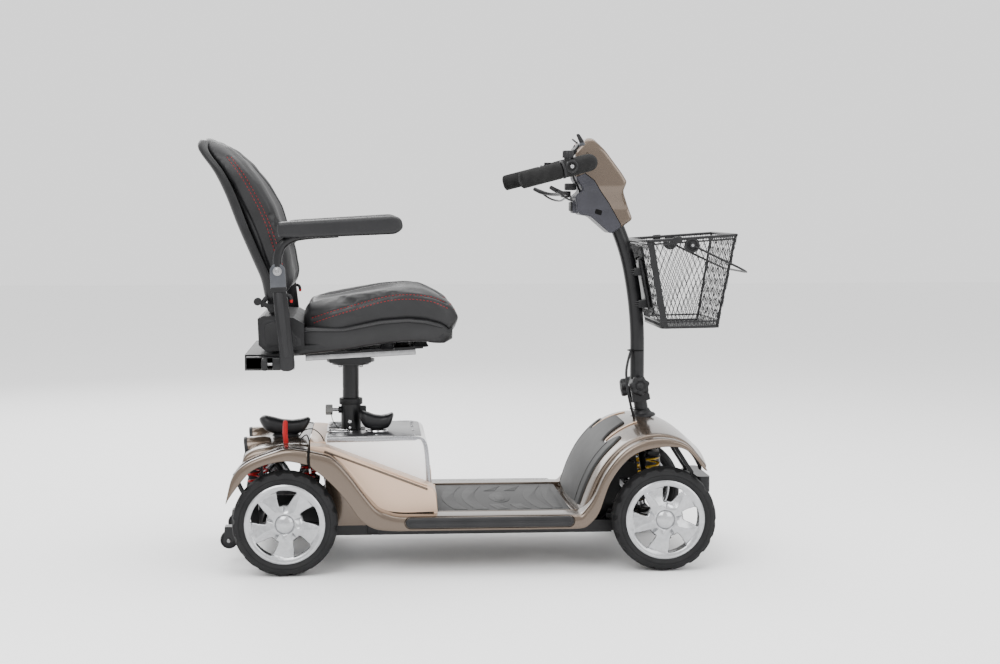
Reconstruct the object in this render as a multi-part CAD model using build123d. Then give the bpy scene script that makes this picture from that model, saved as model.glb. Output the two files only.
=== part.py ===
from build123d import *
import math
import os

# A four-wheel mobility scooter, in millimetres. +X is forward, +Y the rider's left and +Z up.
# The parts are drawn with x = 0 at the rear axle and z = 0 on the ground. When they are written,
# they all move along X so that the origin is under the middle of the whole scooter.

# ---------------------------------------------------------------- driving dimensions
WHEELBASE = 836.0
TYRE_R = 115.0
TYRE_W = 65.0
WHEEL_Y = 232.0          # middle of each wheel from the scooter's middle plane
RIM_R = 88.0
RIM_W = 54.0
AXLE_D = 17.0
STUB_D = 12.0

FIT = 0.08               # radial clearance of a pin, shaft or post in its bore
GAP = 0.5                # gap between neighbours that move past each other

BODY_W = 262.0           # half width of the bodywork
DECK_Z = 130.0           # top of the rim around the deck mat
MAT_W = 196.0            # half width of the deck mat
SKIN = 3.0               # wall of the moulded bodywork
SEAM_X = 52.0            # where the rear cover meets the main body

RAIL_Y = 84.5            # middle of each frame rail
RAIL_W = 25.0
RAIL_Z0 = 60.0
RAIL_H = 28.0

POST_X = 142.5           # axis of the seat post
POST_D = 38.0
SOCKET_D = 46.0
SOCKET_TOP = 363.0
PIN_Z = 336.0            # height of the seat post's locking pin
PIN_D = 8.0
HOLE_PITCH = 25.0        # between the height holes in the seat post

SEAT_W = 212.0           # half width of the seat cushion
SEAT_TILT = 3.0          # the seat base rises towards the front
BACK_W = 200.0           # half width of the backrest
BACK_X, BACK_Z = -28.0, 582.0      # backrest hinge
ARM_Y = 249.0            # middle of each armrest bracket
ARM_X, ARM_Z = -11.0, 666.0        # armrest pivot
PAD_Y = 265.0            # middle of each armrest pad

RAKE = 9.5               # steering axis leans back this many degrees
KING_Y = 190.0           # kingpin from the middle plane
COLUMN_SHIFT = 20.5      # steering column ahead of the kingpins, square to its axis
ARM_R = 45.0             # length of the crank and of both knuckle arms
COLUMN_D = 32.0
PIVOT_H = 274.5          # tiller pivot along the column from axle height
TILLER_D = 33.0
BAR_X, BAR_Z = 675.0, 902.0        # handlebar where it crosses the head
BAR_D = 24.0
BATTERY_W = 145.0        # half width of the battery box
BASKET_W = 145.0         # half width of the basket at its rim

C, LO = Align.CENTER, Align.MIN
PARTS = {}
SIDES = {"left": 1, "right": -1}


# ---------------------------------------------------------------- building blocks
def block(x0, x1, y0, y1, z0, z1):
    """A box between two corners."""
    place = Pos((x0 + x1) / 2, (y0 + y1) / 2, (z0 + z1) / 2)
    return place * Box(abs(x1 - x0), abs(y1 - y0), abs(z1 - z0))


def rod(start, end, diameter):
    """A round bar between two points."""
    start, end = Vector(*start), Vector(*end)
    along = end - start
    body = Cylinder(diameter / 2, along.length, align=(C, C, LO))
    return Plane(origin=start, z_dir=along) * body


def cross_rod(x, z, y0, y1, diameter):
    """A round bar along Y."""
    return rod((x, min(y0, y1), z), (x, max(y0, y1), z), diameter)


def both(shape):
    """A shape and its mirror image in the middle plane."""
    return [shape, mirror(shape, about=Plane.XZ)]


def side(points, y=0.0):
    """Side-view points (x, z) as points in space."""
    return [(x, y, z) for x, z in points]


def plate(points, y0, y1):
    """A side-view polygon, as thick as y0 to y1."""
    face = make_face(Polyline(*side(points, min(y0, y1)), close=True))
    return extrude(face, amount=abs(y1 - y0), dir=(0, 1, 0))


def closing(upper, lower):
    """The lines that join the ends of two curves, where the ends don't already meet."""
    pairs = [(upper @ 0, lower @ 0), (upper @ 1, lower @ 1)]
    return [Line(a, b) for a, b in pairs if (a - b).length > 0.01]


def curved_plate(top, bottom, y0, y1):
    """A side-view outline with a smooth curve above and one below, both front to back alike."""
    y = min(y0, y1)
    upper = Spline(*side(top, y))
    lower = Spline(*side(bottom, y)) if len(bottom) > 2 else Line(*side(bottom, y))
    face = make_face([upper, lower] + closing(upper, lower))
    return extrude(face, amount=abs(y1 - y0), dir=(0, 1, 0))


def shifted(points, distance):
    """Side-view points moved square to their line, to its right going along it."""
    moved = []
    for i, (x, z) in enumerate(points):
        ax, az = points[max(i - 1, 0)]
        bx, bz = points[min(i + 1, len(points) - 1)]
        length = math.hypot(bx - ax, bz - az)
        moved.append((x + (bz - az) / length * distance, z - (bx - ax) / length * distance))
    return moved


def band_face(points, thickness, y):
    """The section at y of a sheet whose upper side runs through the points."""
    upper = Spline(*side(points, y))
    lower = Spline(*side(shifted(points, thickness), y))
    return make_face([upper, lower] + closing(upper, lower))


def band(points, thickness, y0, y1):
    """A bent sheet as wide as y0 to y1."""
    face = band_face(points, thickness, min(y0, y1))
    return extrude(face, amount=abs(y1 - y0), dir=(0, 1, 0))


def tube(points, radii, diameter, hole=0.0):
    """A bent round bar or tube."""
    path = FilletPolyline(*points, radius=radii)
    start = Plane(origin=path @ 0, z_dir=path % 0)
    body = sweep(start * Circle(diameter / 2), path=path)
    if hole:
        body -= sweep(start * Circle(hole / 2), path=path)
    return body


def add(node, *shapes):
    """Puts solids in a node, each one its own piece."""
    for shape in shapes:
        for item in shape if isinstance(shape, (list, tuple)) else [shape]:
            PARTS.setdefault(node, []).extend(item.solids())


def front_view(points, x0, x1):
    """A front-view polygon (y, z), as long as x0 to x1."""
    face = make_face(Polyline(*[(x0, y, z) for y, z in points], close=True))
    return extrude(face, amount=x1 - x0, dir=(1, 0, 0))


# ---------------------------------------------------------------- datums
RAKE_AXIS = Vector(-math.sin(math.radians(RAKE)), 0, math.cos(math.radians(RAKE)))
RAKE_FORE = Vector(math.cos(math.radians(RAKE)), 0, math.sin(math.radians(RAKE)))
STEER = Plane(origin=(WHEELBASE, 0, TYRE_R), x_dir=RAKE_FORE, z_dir=RAKE_AXIS)
TILT = math.radians(SEAT_TILT)
SEAT = Plane(origin=(POST_X, 0, 478.0), x_dir=(math.cos(TILT), 0, math.sin(TILT)),
             z_dir=(-math.sin(TILT), 0, math.cos(TILT)))
PIVOT = STEER.from_local_coords((COLUMN_SHIFT, 0, PIVOT_H))


# ---------------------------------------------------------------- wheels
def tyre(x, y):
    """A solid tyre on its rim seat."""
    half = TYRE_W / 2
    bead, shoulder = half - 4.5, half - 6.0
    crown = TYRE_R - 4.0
    mid = (RIM_R + crown) / 2
    wires = [
        Line((0, -bead, RIM_R), (0, bead, RIM_R)),
        ThreePointArc((0, bead, RIM_R), (0, half, mid), (0, shoulder, crown)),
        ThreePointArc((0, shoulder, crown), (0, 0, TYRE_R), (0, -shoulder, crown)),
        ThreePointArc((0, -shoulder, crown), (0, -half, mid), (0, -bead, RIM_R)),
    ]
    return Pos(x, y, TYRE_R) * revolve(make_face(wires), axis=Axis.Y)


def rim(x, y, bore, outward):
    """A five-window wheel with a closed cap on its outer face."""
    half = RIM_W / 2
    profile = [
        (RIM_R, -half), (RIM_R, half), (RIM_R - 8, half), (RIM_R - 13, half - 10),
        (24, half - 4), (18, half + 1), (0, half + 3), (0, half - 8), (bore / 2, half - 8),
        (bore / 2, -12), (19, -12), (19, half - 12), (RIM_R - 14, half - 18),
        (RIM_R - 7, -half),
    ]
    face = make_face(Polyline(*[(0, w, r) for r, w in profile], close=True))
    wheel = revolve(face, axis=Axis.Y)
    window = [(36, -4), (50, -17), (68, -17), (70, 6), (52, 12), (37, 8)]
    for i in range(5):
        turn = 90.0 + 72.0 * i
        corners = []
        for radius, degrees in window:
            angle = math.radians(turn + degrees)
            corners.append((radius * math.cos(angle), radius * math.sin(angle)))
        wheel -= plate(corners, half - 24, half + 6)
    if outward < 0:
        wheel = mirror(wheel, about=Plane.XZ)
    return Pos(x, y, TYRE_R) * wheel


def rear_wheels():
    for name, s in SIDES.items():
        y = s * WHEEL_Y
        add(f"rear_{name}_tyre", tyre(0, y))
        add(f"rear_{name}_rim", rim(0, y, AXLE_D, s))
        inner, outer = s * 60.0, s * (WHEEL_Y + RIM_W / 2 - 8.0)
        add(f"rear_{name}_rim", cross_rod(0, TYRE_R, inner, outer, AXLE_D))


def front_wheels():
    for name, s in SIDES.items():
        y = s * WHEEL_Y
        add(f"front_{name}_tyre", tyre(WHEELBASE, y))
        add(f"front_{name}_rim", rim(WHEELBASE, y, STUB_D + 2 * FIT, s))


# ---------------------------------------------------------------- frame and drive
CARRIER_Y = 104.0        # middle of each swing arm
SWING_X, SWING_Z = 150.0, 100.0    # rear suspension pivot
SWING_D = 12.0
REAR_SPRING_X = (-72.0, 48.0)
REAR_SPRING_Y = 150.0
REAR_SPRING_Z = (156.0, 234.0)
FREEWHEEL_X, FREEWHEEL_Y, FREEWHEEL_Z = -1.0, -150.0, 262.0
ANTI_TIP_X, ANTI_TIP_Y, ANTI_TIP_Z, ANTI_TIP_R = -131.0, 112.0, 57.0, 20.0


def rails(x0, x1):
    y0, y1 = RAIL_Y - RAIL_W / 2, RAIL_Y + RAIL_W / 2
    return both(block(x0, x1, y0, y1, RAIL_Z0, RAIL_Z0 + RAIL_H))


def rear_frame():
    """Rails, hoop and spring beams of the rear section, with its pivot and anti-tip brackets."""
    top = RAIL_Z0 + RAIL_H
    outer = RAIL_Y + RAIL_W / 2
    frame = block(-84, -60, -RAIL_Y, RAIL_Y, RAIL_Z0, top)
    for piece in rails(-84, 190):
        frame += piece
    frame += block(118, 167, -RAIL_Y, RAIL_Y, RAIL_Z0, top)
    for piece in both(block(-84, -66, RAIL_Y - 9, RAIL_Y + 9, top, 232)):
        frame += piece
    frame += block(-84, -60, -128, 128, 220, 232)
    for piece in both(block(-84, -60, 118, 128, 220, 246) + block(-84, -60, 118, 165, 236, 246)):
        frame += piece
    frame += block(-84, -60, -18, 18, 220, 252)
    frame += block(36, 60, -165, 165, 238, 250)
    frame += block(-84, POST_X, -18, 18, 238, 252)
    frame -= rod((POST_X, 0, top), (POST_X, 0, 300), SOCKET_D)
    for x in REAR_SPRING_X:
        for piece in both(rod((x, REAR_SPRING_Y, REAR_SPRING_Z[1]), (x, REAR_SPRING_Y, 238), 34)):
            frame += piece
    lug = block(SWING_X - 14, SWING_X + 14, RAIL_Y - 6, RAIL_Y + 6, top, SWING_Z + 12)
    pin = cross_rod(SWING_X, SWING_Z, RAIL_Y, CARRIER_Y + 9, SWING_D)
    for piece in both(lug + pin):
        frame += piece
    wheel_gap = ANTI_TIP_Y - 11
    arm = [(-84, RAIL_Z0), (-60, RAIL_Z0), (-60, top), (-140, top), (-143, ANTI_TIP_Z),
           (-131, ANTI_TIP_Z - 10), (-119, ANTI_TIP_Z), (-110, RAIL_Z0 + 8)]
    inner_arm = plate(arm, outer - 2, wheel_gap)
    outer_plate = [(-106, top), (-140, top), (-143, ANTI_TIP_Z), (-131, ANTI_TIP_Z - 10),
                   (-119, ANTI_TIP_Z)]
    outer_arm = plate(outer_plate, ANTI_TIP_Y + 11, ANTI_TIP_Y + 15)
    bridge = block(-140, -106, wheel_gap - 2, ANTI_TIP_Y + 13, top - 3, top)
    pin = cross_rod(ANTI_TIP_X, ANTI_TIP_Z, wheel_gap - 3, ANTI_TIP_Y + 15, 6)
    for piece in both(inner_arm + outer_arm + bridge + pin):
        frame += piece
    for y in (FREEWHEEL_Y - 8.5, FREEWHEEL_Y + 5.5):
        frame += block(FREEWHEEL_X - 8, 50, y, y + 3, 250, FREEWHEEL_Z + 6)
        frame += block(36, 50, y, y + 3, 248, 252)
    frame += cross_rod(FREEWHEEL_X, FREEWHEEL_Z, FREEWHEEL_Y - 8, FREEWHEEL_Y + 8, 5)
    add("rear_frame", frame)


def seat_post_socket():
    """Outer tube of the seat post, with the bored boss of its locking pin."""
    low = RAIL_Z0 + RAIL_H
    socket = rod((POST_X, 0, low), (POST_X, 0, SOCKET_TOP), SOCKET_D)
    boss = rod((POST_X - SOCKET_D / 2 - 6, 0, PIN_Z), (POST_X, 0, PIN_Z), PIN_D + 8)
    socket += boss
    socket -= rod((POST_X, 0, low + 4), (POST_X, 0, SOCKET_TOP), POST_D + 2 * FIT)
    socket -= rod((POST_X - 40, 0, PIN_Z), (POST_X + 40, 0, PIN_Z), PIN_D + 2 * FIT)
    add("seat_post_socket", socket)


def post_pin():
    """Locking pin drawn in its pulled place: pushed home, it enters a hole in the post."""
    tip = POST_X - POST_D / 2 - GAP
    shank = rod((100, 0, PIN_Z), (tip, 0, PIN_Z), PIN_D)
    knob = rod((84, 0, PIN_Z), (101, 0, PIN_Z), 24)
    for i in range(12):
        angle = math.radians(30 * i)
        y, z = 13 * math.cos(angle), PIN_Z + 13 * math.sin(angle)
        knob -= rod((80, y, z), (105, y, z), 3.6)
    add("post_pin", knob + shank)


def drive_unit():
    """Transaxle with its motor and axle tubes, and the swing arms that carry it."""
    housing = block(-45, 45, -55, 55, 72, 156)
    housing = fillet(housing.edges().filter_by(Axis.Y), 20)
    for piece in both(cross_rod(0, TYRE_R, 55, KING_Y, AXLE_D + 17)):
        housing += piece
    for s in SIDES.values():
        housing -= cross_rod(0, TYRE_R, s * 58, s * KING_Y, AXLE_D + 2 * FIT)
    motor = rod((45, 0, TYRE_R), (82, 0, TYRE_R), 76)
    motor = fillet(motor.edges().sort_by(Axis.X)[-1:], 6)
    add("transaxle", housing, motor)
    arm = [(-90, 146), (-90, 156), (66, 156), (66, 140), (30, 128), (SWING_X - 10, SWING_Z + 15),
           (SWING_X + 12, SWING_Z + 9), (SWING_X + 12, SWING_Z - 8), (30, 96), (-24, 96),
           (-30, 140)]
    carrier = plate(arm, CARRIER_Y - 4, CARRIER_Y + 4)
    for x in REAR_SPRING_X:
        carrier += block(x - 18, x + 18, CARRIER_Y, REAR_SPRING_Y + 18, 150, 156)
    carrier -= cross_rod(0, TYRE_R, 50, KING_Y, AXLE_D + 17)
    carrier -= cross_rod(SWING_X, SWING_Z, 50, KING_Y, SWING_D + 2 * FIT)
    add("drive_carrier", both(carrier))


def coil(x, y, z0, z1, radius, wire, turns):
    """A coil spring standing between two heights, with closed ends inside them."""
    height = z1 - z0 - wire - 0.4
    path = Helix(pitch=height / turns, height=height, radius=radius)
    start = Plane(origin=path @ 0, z_dir=path % 0)
    spring = sweep(start * Circle(wire / 2), path=path, is_frenet=True)
    return Pos(x, y, z0 + wire / 2 + 0.2) * spring


def rear_springs():
    z0, z1 = REAR_SPRING_Z
    for x in REAR_SPRING_X:
        for s in SIDES.values():
            add("rear_springs", coil(x, s * REAR_SPRING_Y, z0, z1, 13, 4.5, 5))


def anti_tip_wheels():
    for name, s in SIDES.items():
        wheel = cross_rod(ANTI_TIP_X, ANTI_TIP_Z, s * (ANTI_TIP_Y - 9), s * (ANTI_TIP_Y + 9),
                          2 * ANTI_TIP_R)
        wheel = fillet(wheel.edges().filter_by(GeomType.CIRCLE), 4)
        wheel -= cross_rod(ANTI_TIP_X, ANTI_TIP_Z, s * 80, s * 140, 6 + 2 * FIT)
        add(f"{name}_anti_tip_wheel", wheel)


def freewheel_lever():
    lever = cross_rod(FREEWHEEL_X, FREEWHEEL_Z, FREEWHEEL_Y - 4.5, FREEWHEEL_Y + 4.5, 14)
    lever += rod((FREEWHEEL_X, FREEWHEEL_Y, FREEWHEEL_Z), (FREEWHEEL_X, FREEWHEEL_Y, 328), 8.5)
    lever += Pos(FREEWHEEL_X, FREEWHEEL_Y, 328) * Sphere(5.2)
    lever -= cross_rod(FREEWHEEL_X, FREEWHEEL_Z, FREEWHEEL_Y - 6, FREEWHEEL_Y + 6, 5 + 2 * FIT)
    add("freewheel_lever", lever)


AXLE_ARM_X, AXLE_ARM_Z = 740.0, 94.0     # front suspension pivot
SPRING_X, SPRING_Y = 828.0, 120.0
SPRING_Z = (152.0, 240.0)
HEAD_TUBE = (56.0, 140.0)                # along the column from axle height


def front_frame():
    """Deck rails, the spine up to the head tube, the spring beam and the bumper."""
    top = RAIL_Z0 + RAIL_H
    frame = block(192, 222, -RAIL_Y, RAIL_Y, RAIL_Z0, top)
    for piece in rails(192, 738):
        frame += piece
    for x in (440, 676):
        frame += block(x, x + 30, -RAIL_Y, RAIL_Y, RAIL_Z0, top)
    spine = [(700, RAIL_Z0), (766, RAIL_Z0), (768, 172), (812, 172), (800, 262), (776, 262),
             (700, 110)]
    frame += plate(spine, -20, 20)
    frame += cross_rod(AXLE_ARM_X, AXLE_ARM_Z, -78, 78, 14)
    for piece in both(block(728, 752, 72, 80, RAIL_Z0, top + 12)):
        frame += piece
    low, high = HEAD_TUBE
    axis = Pos(COLUMN_SHIFT, 0, 0)
    frame += STEER * axis * Pos(0, 0, low) * Cylinder(24, high - low, align=(C, C, LO))
    beam_z = SPRING_Z[1] + 3
    frame += block(SPRING_X - 13, SPRING_X + 13, -SPRING_Y - 18, SPRING_Y + 18, beam_z, beam_z + 7)
    for piece in both(rod((SPRING_X, SPRING_Y, SPRING_Z[1]), (SPRING_X, SPRING_Y, beam_z), 34)):
        frame += piece
    bore = Cylinder(COLUMN_D / 2 + FIT, high - low + 80, align=(C, C, LO))
    frame -= STEER * axis * Pos(0, 0, low - 40) * bore
    horn = [(836, beam_z), (836, beam_z + 7), (890, 262), (936, 190), (936, 160), (928, 160), (928, 186),
            (886, 252)]
    for piece in both(plate(horn, 40, 52)):
        frame += piece
    frame += block(928, 938, -70, 70, 150, 180)
    bumper = block(938, 968, -90, 90, 148, 184)
    bumper = fillet(bumper.edges().filter_by(Axis.Z), 9)
    add("front_frame", frame, bumper)


def front_axle():
    """Beam with kingpin bosses, hinged at the back and carried by the springs."""
    beam = block(822, 850, -KING_Y, KING_Y, 68, 90)
    for s in SIDES.values():
        boss = Pos(0, s * KING_Y, -56) * Cylinder(16, 36, align=(C, C, LO))
        beam += STEER * boss
        arm = [(722, AXLE_ARM_Z - 12), (735, AXLE_ARM_Z + 13), (748, AXLE_ARM_Z + 12),
               (850, 90), (850, 68), (748, AXLE_ARM_Z - 14)]
        beam += plate(arm, s * 48, s * 60)
        beam += block(810, 846, s * (SPRING_Y - 18), s * (SPRING_Y + 18), 146, 152)
        beam += block(824, 848, s * (SPRING_Y - 10), s * (SPRING_Y + 10), 86, 148)
    for s in SIDES.values():
        bore = Pos(0, s * KING_Y, -70) * Cylinder(7 + FIT, 60, align=(C, C, LO))
        beam -= STEER * bore
        beam -= cross_rod(AXLE_ARM_X, AXLE_ARM_Z, s * 40, s * 70, 14 + 2 * FIT)
    add("front_axle_beam", beam)


def front_springs():
    z0, z1 = SPRING_Z
    for s in SIDES.values():
        add("front_springs", coil(SPRING_X, s * SPRING_Y, z0, z1, 14, 5.5, 5))


def knuckles():
    """Kingpin, stub axle and steering arm of each front wheel, all one piece."""
    for name, s in SIDES.items():
        body = Pos(0, 0, 0) * Box(30, 26, 36)
        body += Pos(0, 0, -62) * Cylinder(7, 50, align=(C, C, LO))
        stub_end = WHEEL_Y + RIM_W / 2 - 9.0 - KING_Y
        body += rod((0, s * 10, 0), (0, s * stub_end, 0), STUB_D)
        body += rod((0, s * 13, 0), (0, s * 17, 0), 22)
        arm = Pos(-ARM_R / 2, 0, 17) * Box(ARM_R + 18, 18, 6)
        body += arm
        body += Pos(-ARM_R, 0, 14) * Cylinder(4, 40, align=(C, C, LO))
        add(f"{name}_knuckle", STEER * Pos(0, s * KING_Y, 0) * body)


ROD_H = (32.0, 40.0)     # track rod, along the column from axle height


def track_rod():
    """Bar that links both steering arms and is driven by the column's crank pin."""
    low, high = ROD_H
    mid = (low + high) / 2
    link = Pos(-ARM_R, 0, mid) * Box(8, 2 * KING_Y - 14, high - low - 2)
    reach = COLUMN_SHIFT
    link += Pos(-ARM_R + reach / 2, 0, mid) * Box(reach, 22, high - low - 2)
    for y in (-KING_Y, KING_Y):
        link += Pos(-ARM_R, y, low) * Cylinder(11, high - low, align=(C, C, LO))
    link += Pos(COLUMN_SHIFT - ARM_R, 0, low) * Cylinder(12, high - low, align=(C, C, LO))
    for y in (-KING_Y, KING_Y):
        link -= Pos(-ARM_R, y, low - 5) * Cylinder(6.6, 20, align=(C, C, LO))
    link -= Pos(COLUMN_SHIFT - ARM_R, 0, low - 5) * Cylinder(4 + FIT, 20, align=(C, C, LO))
    add("track_rod", STEER * link)


# ---------------------------------------------------------------- steering column and tiller
EYE_R = 20.0
BOLT_D = 10.0
EAR_Y = (18.0, 25.0)


def steering_column():
    """Crank, column tube and the fork that holds the tiller."""
    high = ROD_H[1] + 6
    column = Pos(0, 0, high) * Cylinder(COLUMN_D / 2, PIVOT_H - 36 - high, align=(C, C, LO))
    column += Pos(-ARM_R / 2, 0, high + 3) * Box(ARM_R + 20, 24, 6)
    column += Pos(-ARM_R, 0, ROD_H[0] - 4) * Cylinder(4, high - ROD_H[0] + 6, align=(C, C, LO))
    column += Pos(0, 0, HEAD_TUBE[1] + GAP) * Cylinder(22, 8, align=(C, C, LO))
    column += Pos(0, 0, PIVOT_H - 38) * Cylinder(25, 12, align=(C, C, LO))
    for s in SIDES.values():
        ear = Pos(0, s * (EAR_Y[0] + EAR_Y[1]) / 2, 0)
        column += ear * Pos(0, 0, PIVOT_H - 18) * Box(2 * EYE_R, EAR_Y[1] - EAR_Y[0], 36)
        column += rod((0, s * EAR_Y[0], PIVOT_H), (0, s * EAR_Y[1], PIVOT_H), 2 * EYE_R)
    column -= rod((0, -40, PIVOT_H), (0, 40, PIVOT_H), BOLT_D + 2 * FIT)
    add("steering_column", STEER * Pos(COLUMN_SHIFT, 0, 0) * column)


def star_knob(radius, depth, lobes):
    """A lobed hand knob standing on the XY plane."""
    knob = Cylinder(radius * 0.72, depth, align=(C, C, LO))
    for i in range(lobes):
        angle = 2 * math.pi * i / lobes
        place = Pos(radius * 0.68 * math.cos(angle), radius * 0.68 * math.sin(angle), 0)
        knob += place * Cylinder(radius * 0.32, depth, align=(C, C, LO))
    return knob


def tiller_knobs():
    """The tiller's pivot bolt with a star knob on each end."""
    x, z = PIVOT.X, PIVOT.Z
    reach = EAR_Y[1] + 1
    knobs = cross_rod(x, z, -reach - 4, reach + 4, BOLT_D)
    for s in SIDES.values():
        face = Plane(origin=(x, s * reach, z), x_dir=(1, 0, 0), z_dir=(0, s, 0))
        knobs += face * star_knob(24, 18, 7)
    add("tiller_knobs", knobs)


TILLER_PATH = [(PIVOT.X - 1, 0, PIVOT.Z + 14), (810, 0, 560), (782, 0, 715), (722, 0, 838)]
TILLER_BENDS = [900, 470]


def tiller_tube():
    """Curved tube of the tiller with the eye it turns on, and the clamps of the basket bracket."""
    x, z = PIVOT.X, PIVOT.Z
    body = tube(TILLER_PATH, TILLER_BENDS, TILLER_D)
    eye = EAR_Y[0] - GAP
    body += cross_rod(x, z, -eye, eye, 2 * EYE_R - 2)
    body -= cross_rod(x, z, -40, 40, BOLT_D + 2 * FIT)
    for s in SIDES.values():
        body -= block(x - 26, x + 26, s * eye, s * 40, z - 30, z + EYE_R + 6)
    add("tiller_tube", body)


HEAD_SIDE = [(655, 929), (683, 963), (697, 962), (724, 934), (763, 882), (777, 861), (766, 840),
             (792, 775), (766, 757), (741, 740), (722, 757), (694, 782), (667, 786), (656, 827),
             (676, 843), (658, 868)]
HEAD_SPLIT = [(640, 960), (657, 872), (679, 881), (700, 865), (716, 839), (737, 812), (764, 765),
              (764, 720), (850, 740), (850, 1000), (640, 1000)]
HEAD_FRONT = [(-44, 735), (44, 735), (44, 795), (66, 850), (66, 935), (52, 966), (-52, 966),
              (-66, 935), (-66, 850), (-44, 795)]


def tiller_head():
    """Two moulded shells around the top of the tiller."""
    side_face = make_face(Polyline(*side(HEAD_SIDE, -80), close=True))
    front_face = make_face(Polyline(*[(600, y, z) for y, z in HEAD_FRONT], close=True))
    outer = extrude(side_face, amount=160, dir=(0, 1, 0))
    outer &= extrude(front_face, amount=250, dir=(1, 0, 0))
    inner = extrude(offset(side_face, -SKIN), amount=160, dir=(0, 1, 0))
    inner &= extrude(offset(front_face, -SKIN), amount=250, dir=(1, 0, 0))
    shell = outer - inner
    shell -= tube(TILLER_PATH, TILLER_BENDS, TILLER_D)
    shell -= cross_rod(BAR_X, BAR_Z, -90, 90, BAR_D)
    ahead = plate(HEAD_SPLIT, -100, 100)
    dash = Plane(origin=KEY_AT, z_dir=DASH)
    socket = dash * Pos(0, 0, -12) * Cylinder(3.5 + FIT, 24, align=(C, C, LO))
    button = Plane(origin=BUTTON_AT, z_dir=DASH)
    well = button * Pos(0, 0, -12) * Cylinder(6 + GAP / 2, 24, align=(C, C, LO))
    front = (shell & ahead) - socket - well
    rear = shell - ahead
    for z0 in (LEVER_Z - 12, LEVER_Z + 8):
        rear += block(LEVER_X - 8, 664, -10, 10, z0, z0 + 4)
    rear += rod((LEVER_X, 0, LEVER_Z - 12), (LEVER_X, 0, LEVER_Z + 12), 6)
    add("head_front_cover", max(front.solids(), key=lambda s: s.volume))
    add("head_rear_cover", max(rear.solids(), key=lambda s: s.volume))


DASH = Vector(-0.772, 0, 0.636)
KEY_AT = (669, -24, 946)
BUTTON_AT = (669, 24, 946)
LEVER_X, LEVER_Z = 644.0, 833.0
GRIP_END = (520.0, 238.0, 862.0)
BAR_CORNER = (BAR_X, 212.0, BAR_Z)


def handlebar():
    """Wrap-around bar, clamped to the top of the tiller tube."""
    x, y, z = GRIP_END
    cx, cy, cz = BAR_CORNER
    path = [(x, -y, z), (cx, -cy, cz), (cx, cy, cz), (x, y, z)]
    bar = tube(path, [34, 34], BAR_D)
    stem = [(BAR_X - 10, BAR_Z - 14), (BAR_X - 8, BAR_Z + 14), (BAR_X + 10, BAR_Z + 14),
            (736, 842), (708, 826)]
    clamp = plate(stem, -16, 16)
    clamp -= tube(TILLER_PATH, TILLER_BENDS, TILLER_D)
    bar += max(clamp.solids(), key=lambda s: s.volume)
    along = Vector(cx - x, cy - y, cz - z).normalized()
    spot = Vector(x, y, z) + along * 106
    for s in SIDES.values():
        bar += Pos(spot.X, s * spot.Y, spot.Z + 3) * Cylinder(9, 20, align=(C, C, LO))
    add("handlebar", bar)
    grip_end = Vector(x, y, z) + along * 92
    start = Vector(x, y, z) - along * 6
    grip = rod(tuple(start), tuple(grip_end), 33)
    grip -= rod((x, y, z), tuple(grip_end), BAR_D)
    add("handlebar_grips", both(grip))
    dial = Pos(spot.X, -spot.Y, spot.Z + 23 + 0.1) * Cylinder(12, 16, align=(C, C, LO))
    for i in range(16):
        angle = math.radians(22.5 * i)
        place = Pos(spot.X + 12.4 * math.cos(angle), -spot.Y + 12.4 * math.sin(angle), spot.Z + 20)
        dial -= place * Cylinder(1.1, 30, align=(C, C, LO))
    add("speed_dial", dial)


def throttle_paddle():
    """Finger lever on both sides: one end forward, the other reverse."""
    z = LEVER_Z
    path = [(586, -196, z + 14), (612, -172, z + 2), (LEVER_X - 12, -92, z), (LEVER_X - 12, 92, z),
            (612, 172, z + 2), (586, 196, z + 14)]
    lever = tube(path, [18, 50, 50, 18], 8)
    lever += Pos(LEVER_X, 0, z - 7.5) * Cylinder(9, 15, align=(C, C, LO))
    lever += block(LEVER_X - 14, LEVER_X - 4, -8, 8, z - 4, z + 4)
    lever -= Pos(LEVER_X, 0, z - 20) * Cylinder(3 + FIT, 40, align=(C, C, LO))
    add("throttle_paddle", lever)


def dash_controls():
    key = Plane(origin=KEY_AT, z_dir=DASH, x_dir=(0, 1, 0))
    shape = key * Pos(0, 0, -10) * Cylinder(3.5, 16, align=(C, C, LO))
    shape += key * Pos(0, 0, 6) * Box(18, 4, 16, align=(C, C, LO))
    add("ignition_key", shape)
    button = Plane(origin=BUTTON_AT, z_dir=DASH)
    add("horn_button", button * Pos(0, 0, -6) * Cylinder(6, 10, align=(C, C, LO)))


# ---------------------------------------------------------------- basket
PANEL_DIR = Vector(-0.1885, 0, 0.9821)       # up along the basket's back panel
PANEL_OUT = Vector(0.9821, 0, 0.1885)
HOOK_Y = 30.0


def on_panel(up, out):
    """Side-view point, up the basket's back panel from its foot and out in front of it."""
    spot = Vector(847, 0, 529) + PANEL_DIR * up + PANEL_OUT * out
    return (spot.X, spot.Z)


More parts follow.
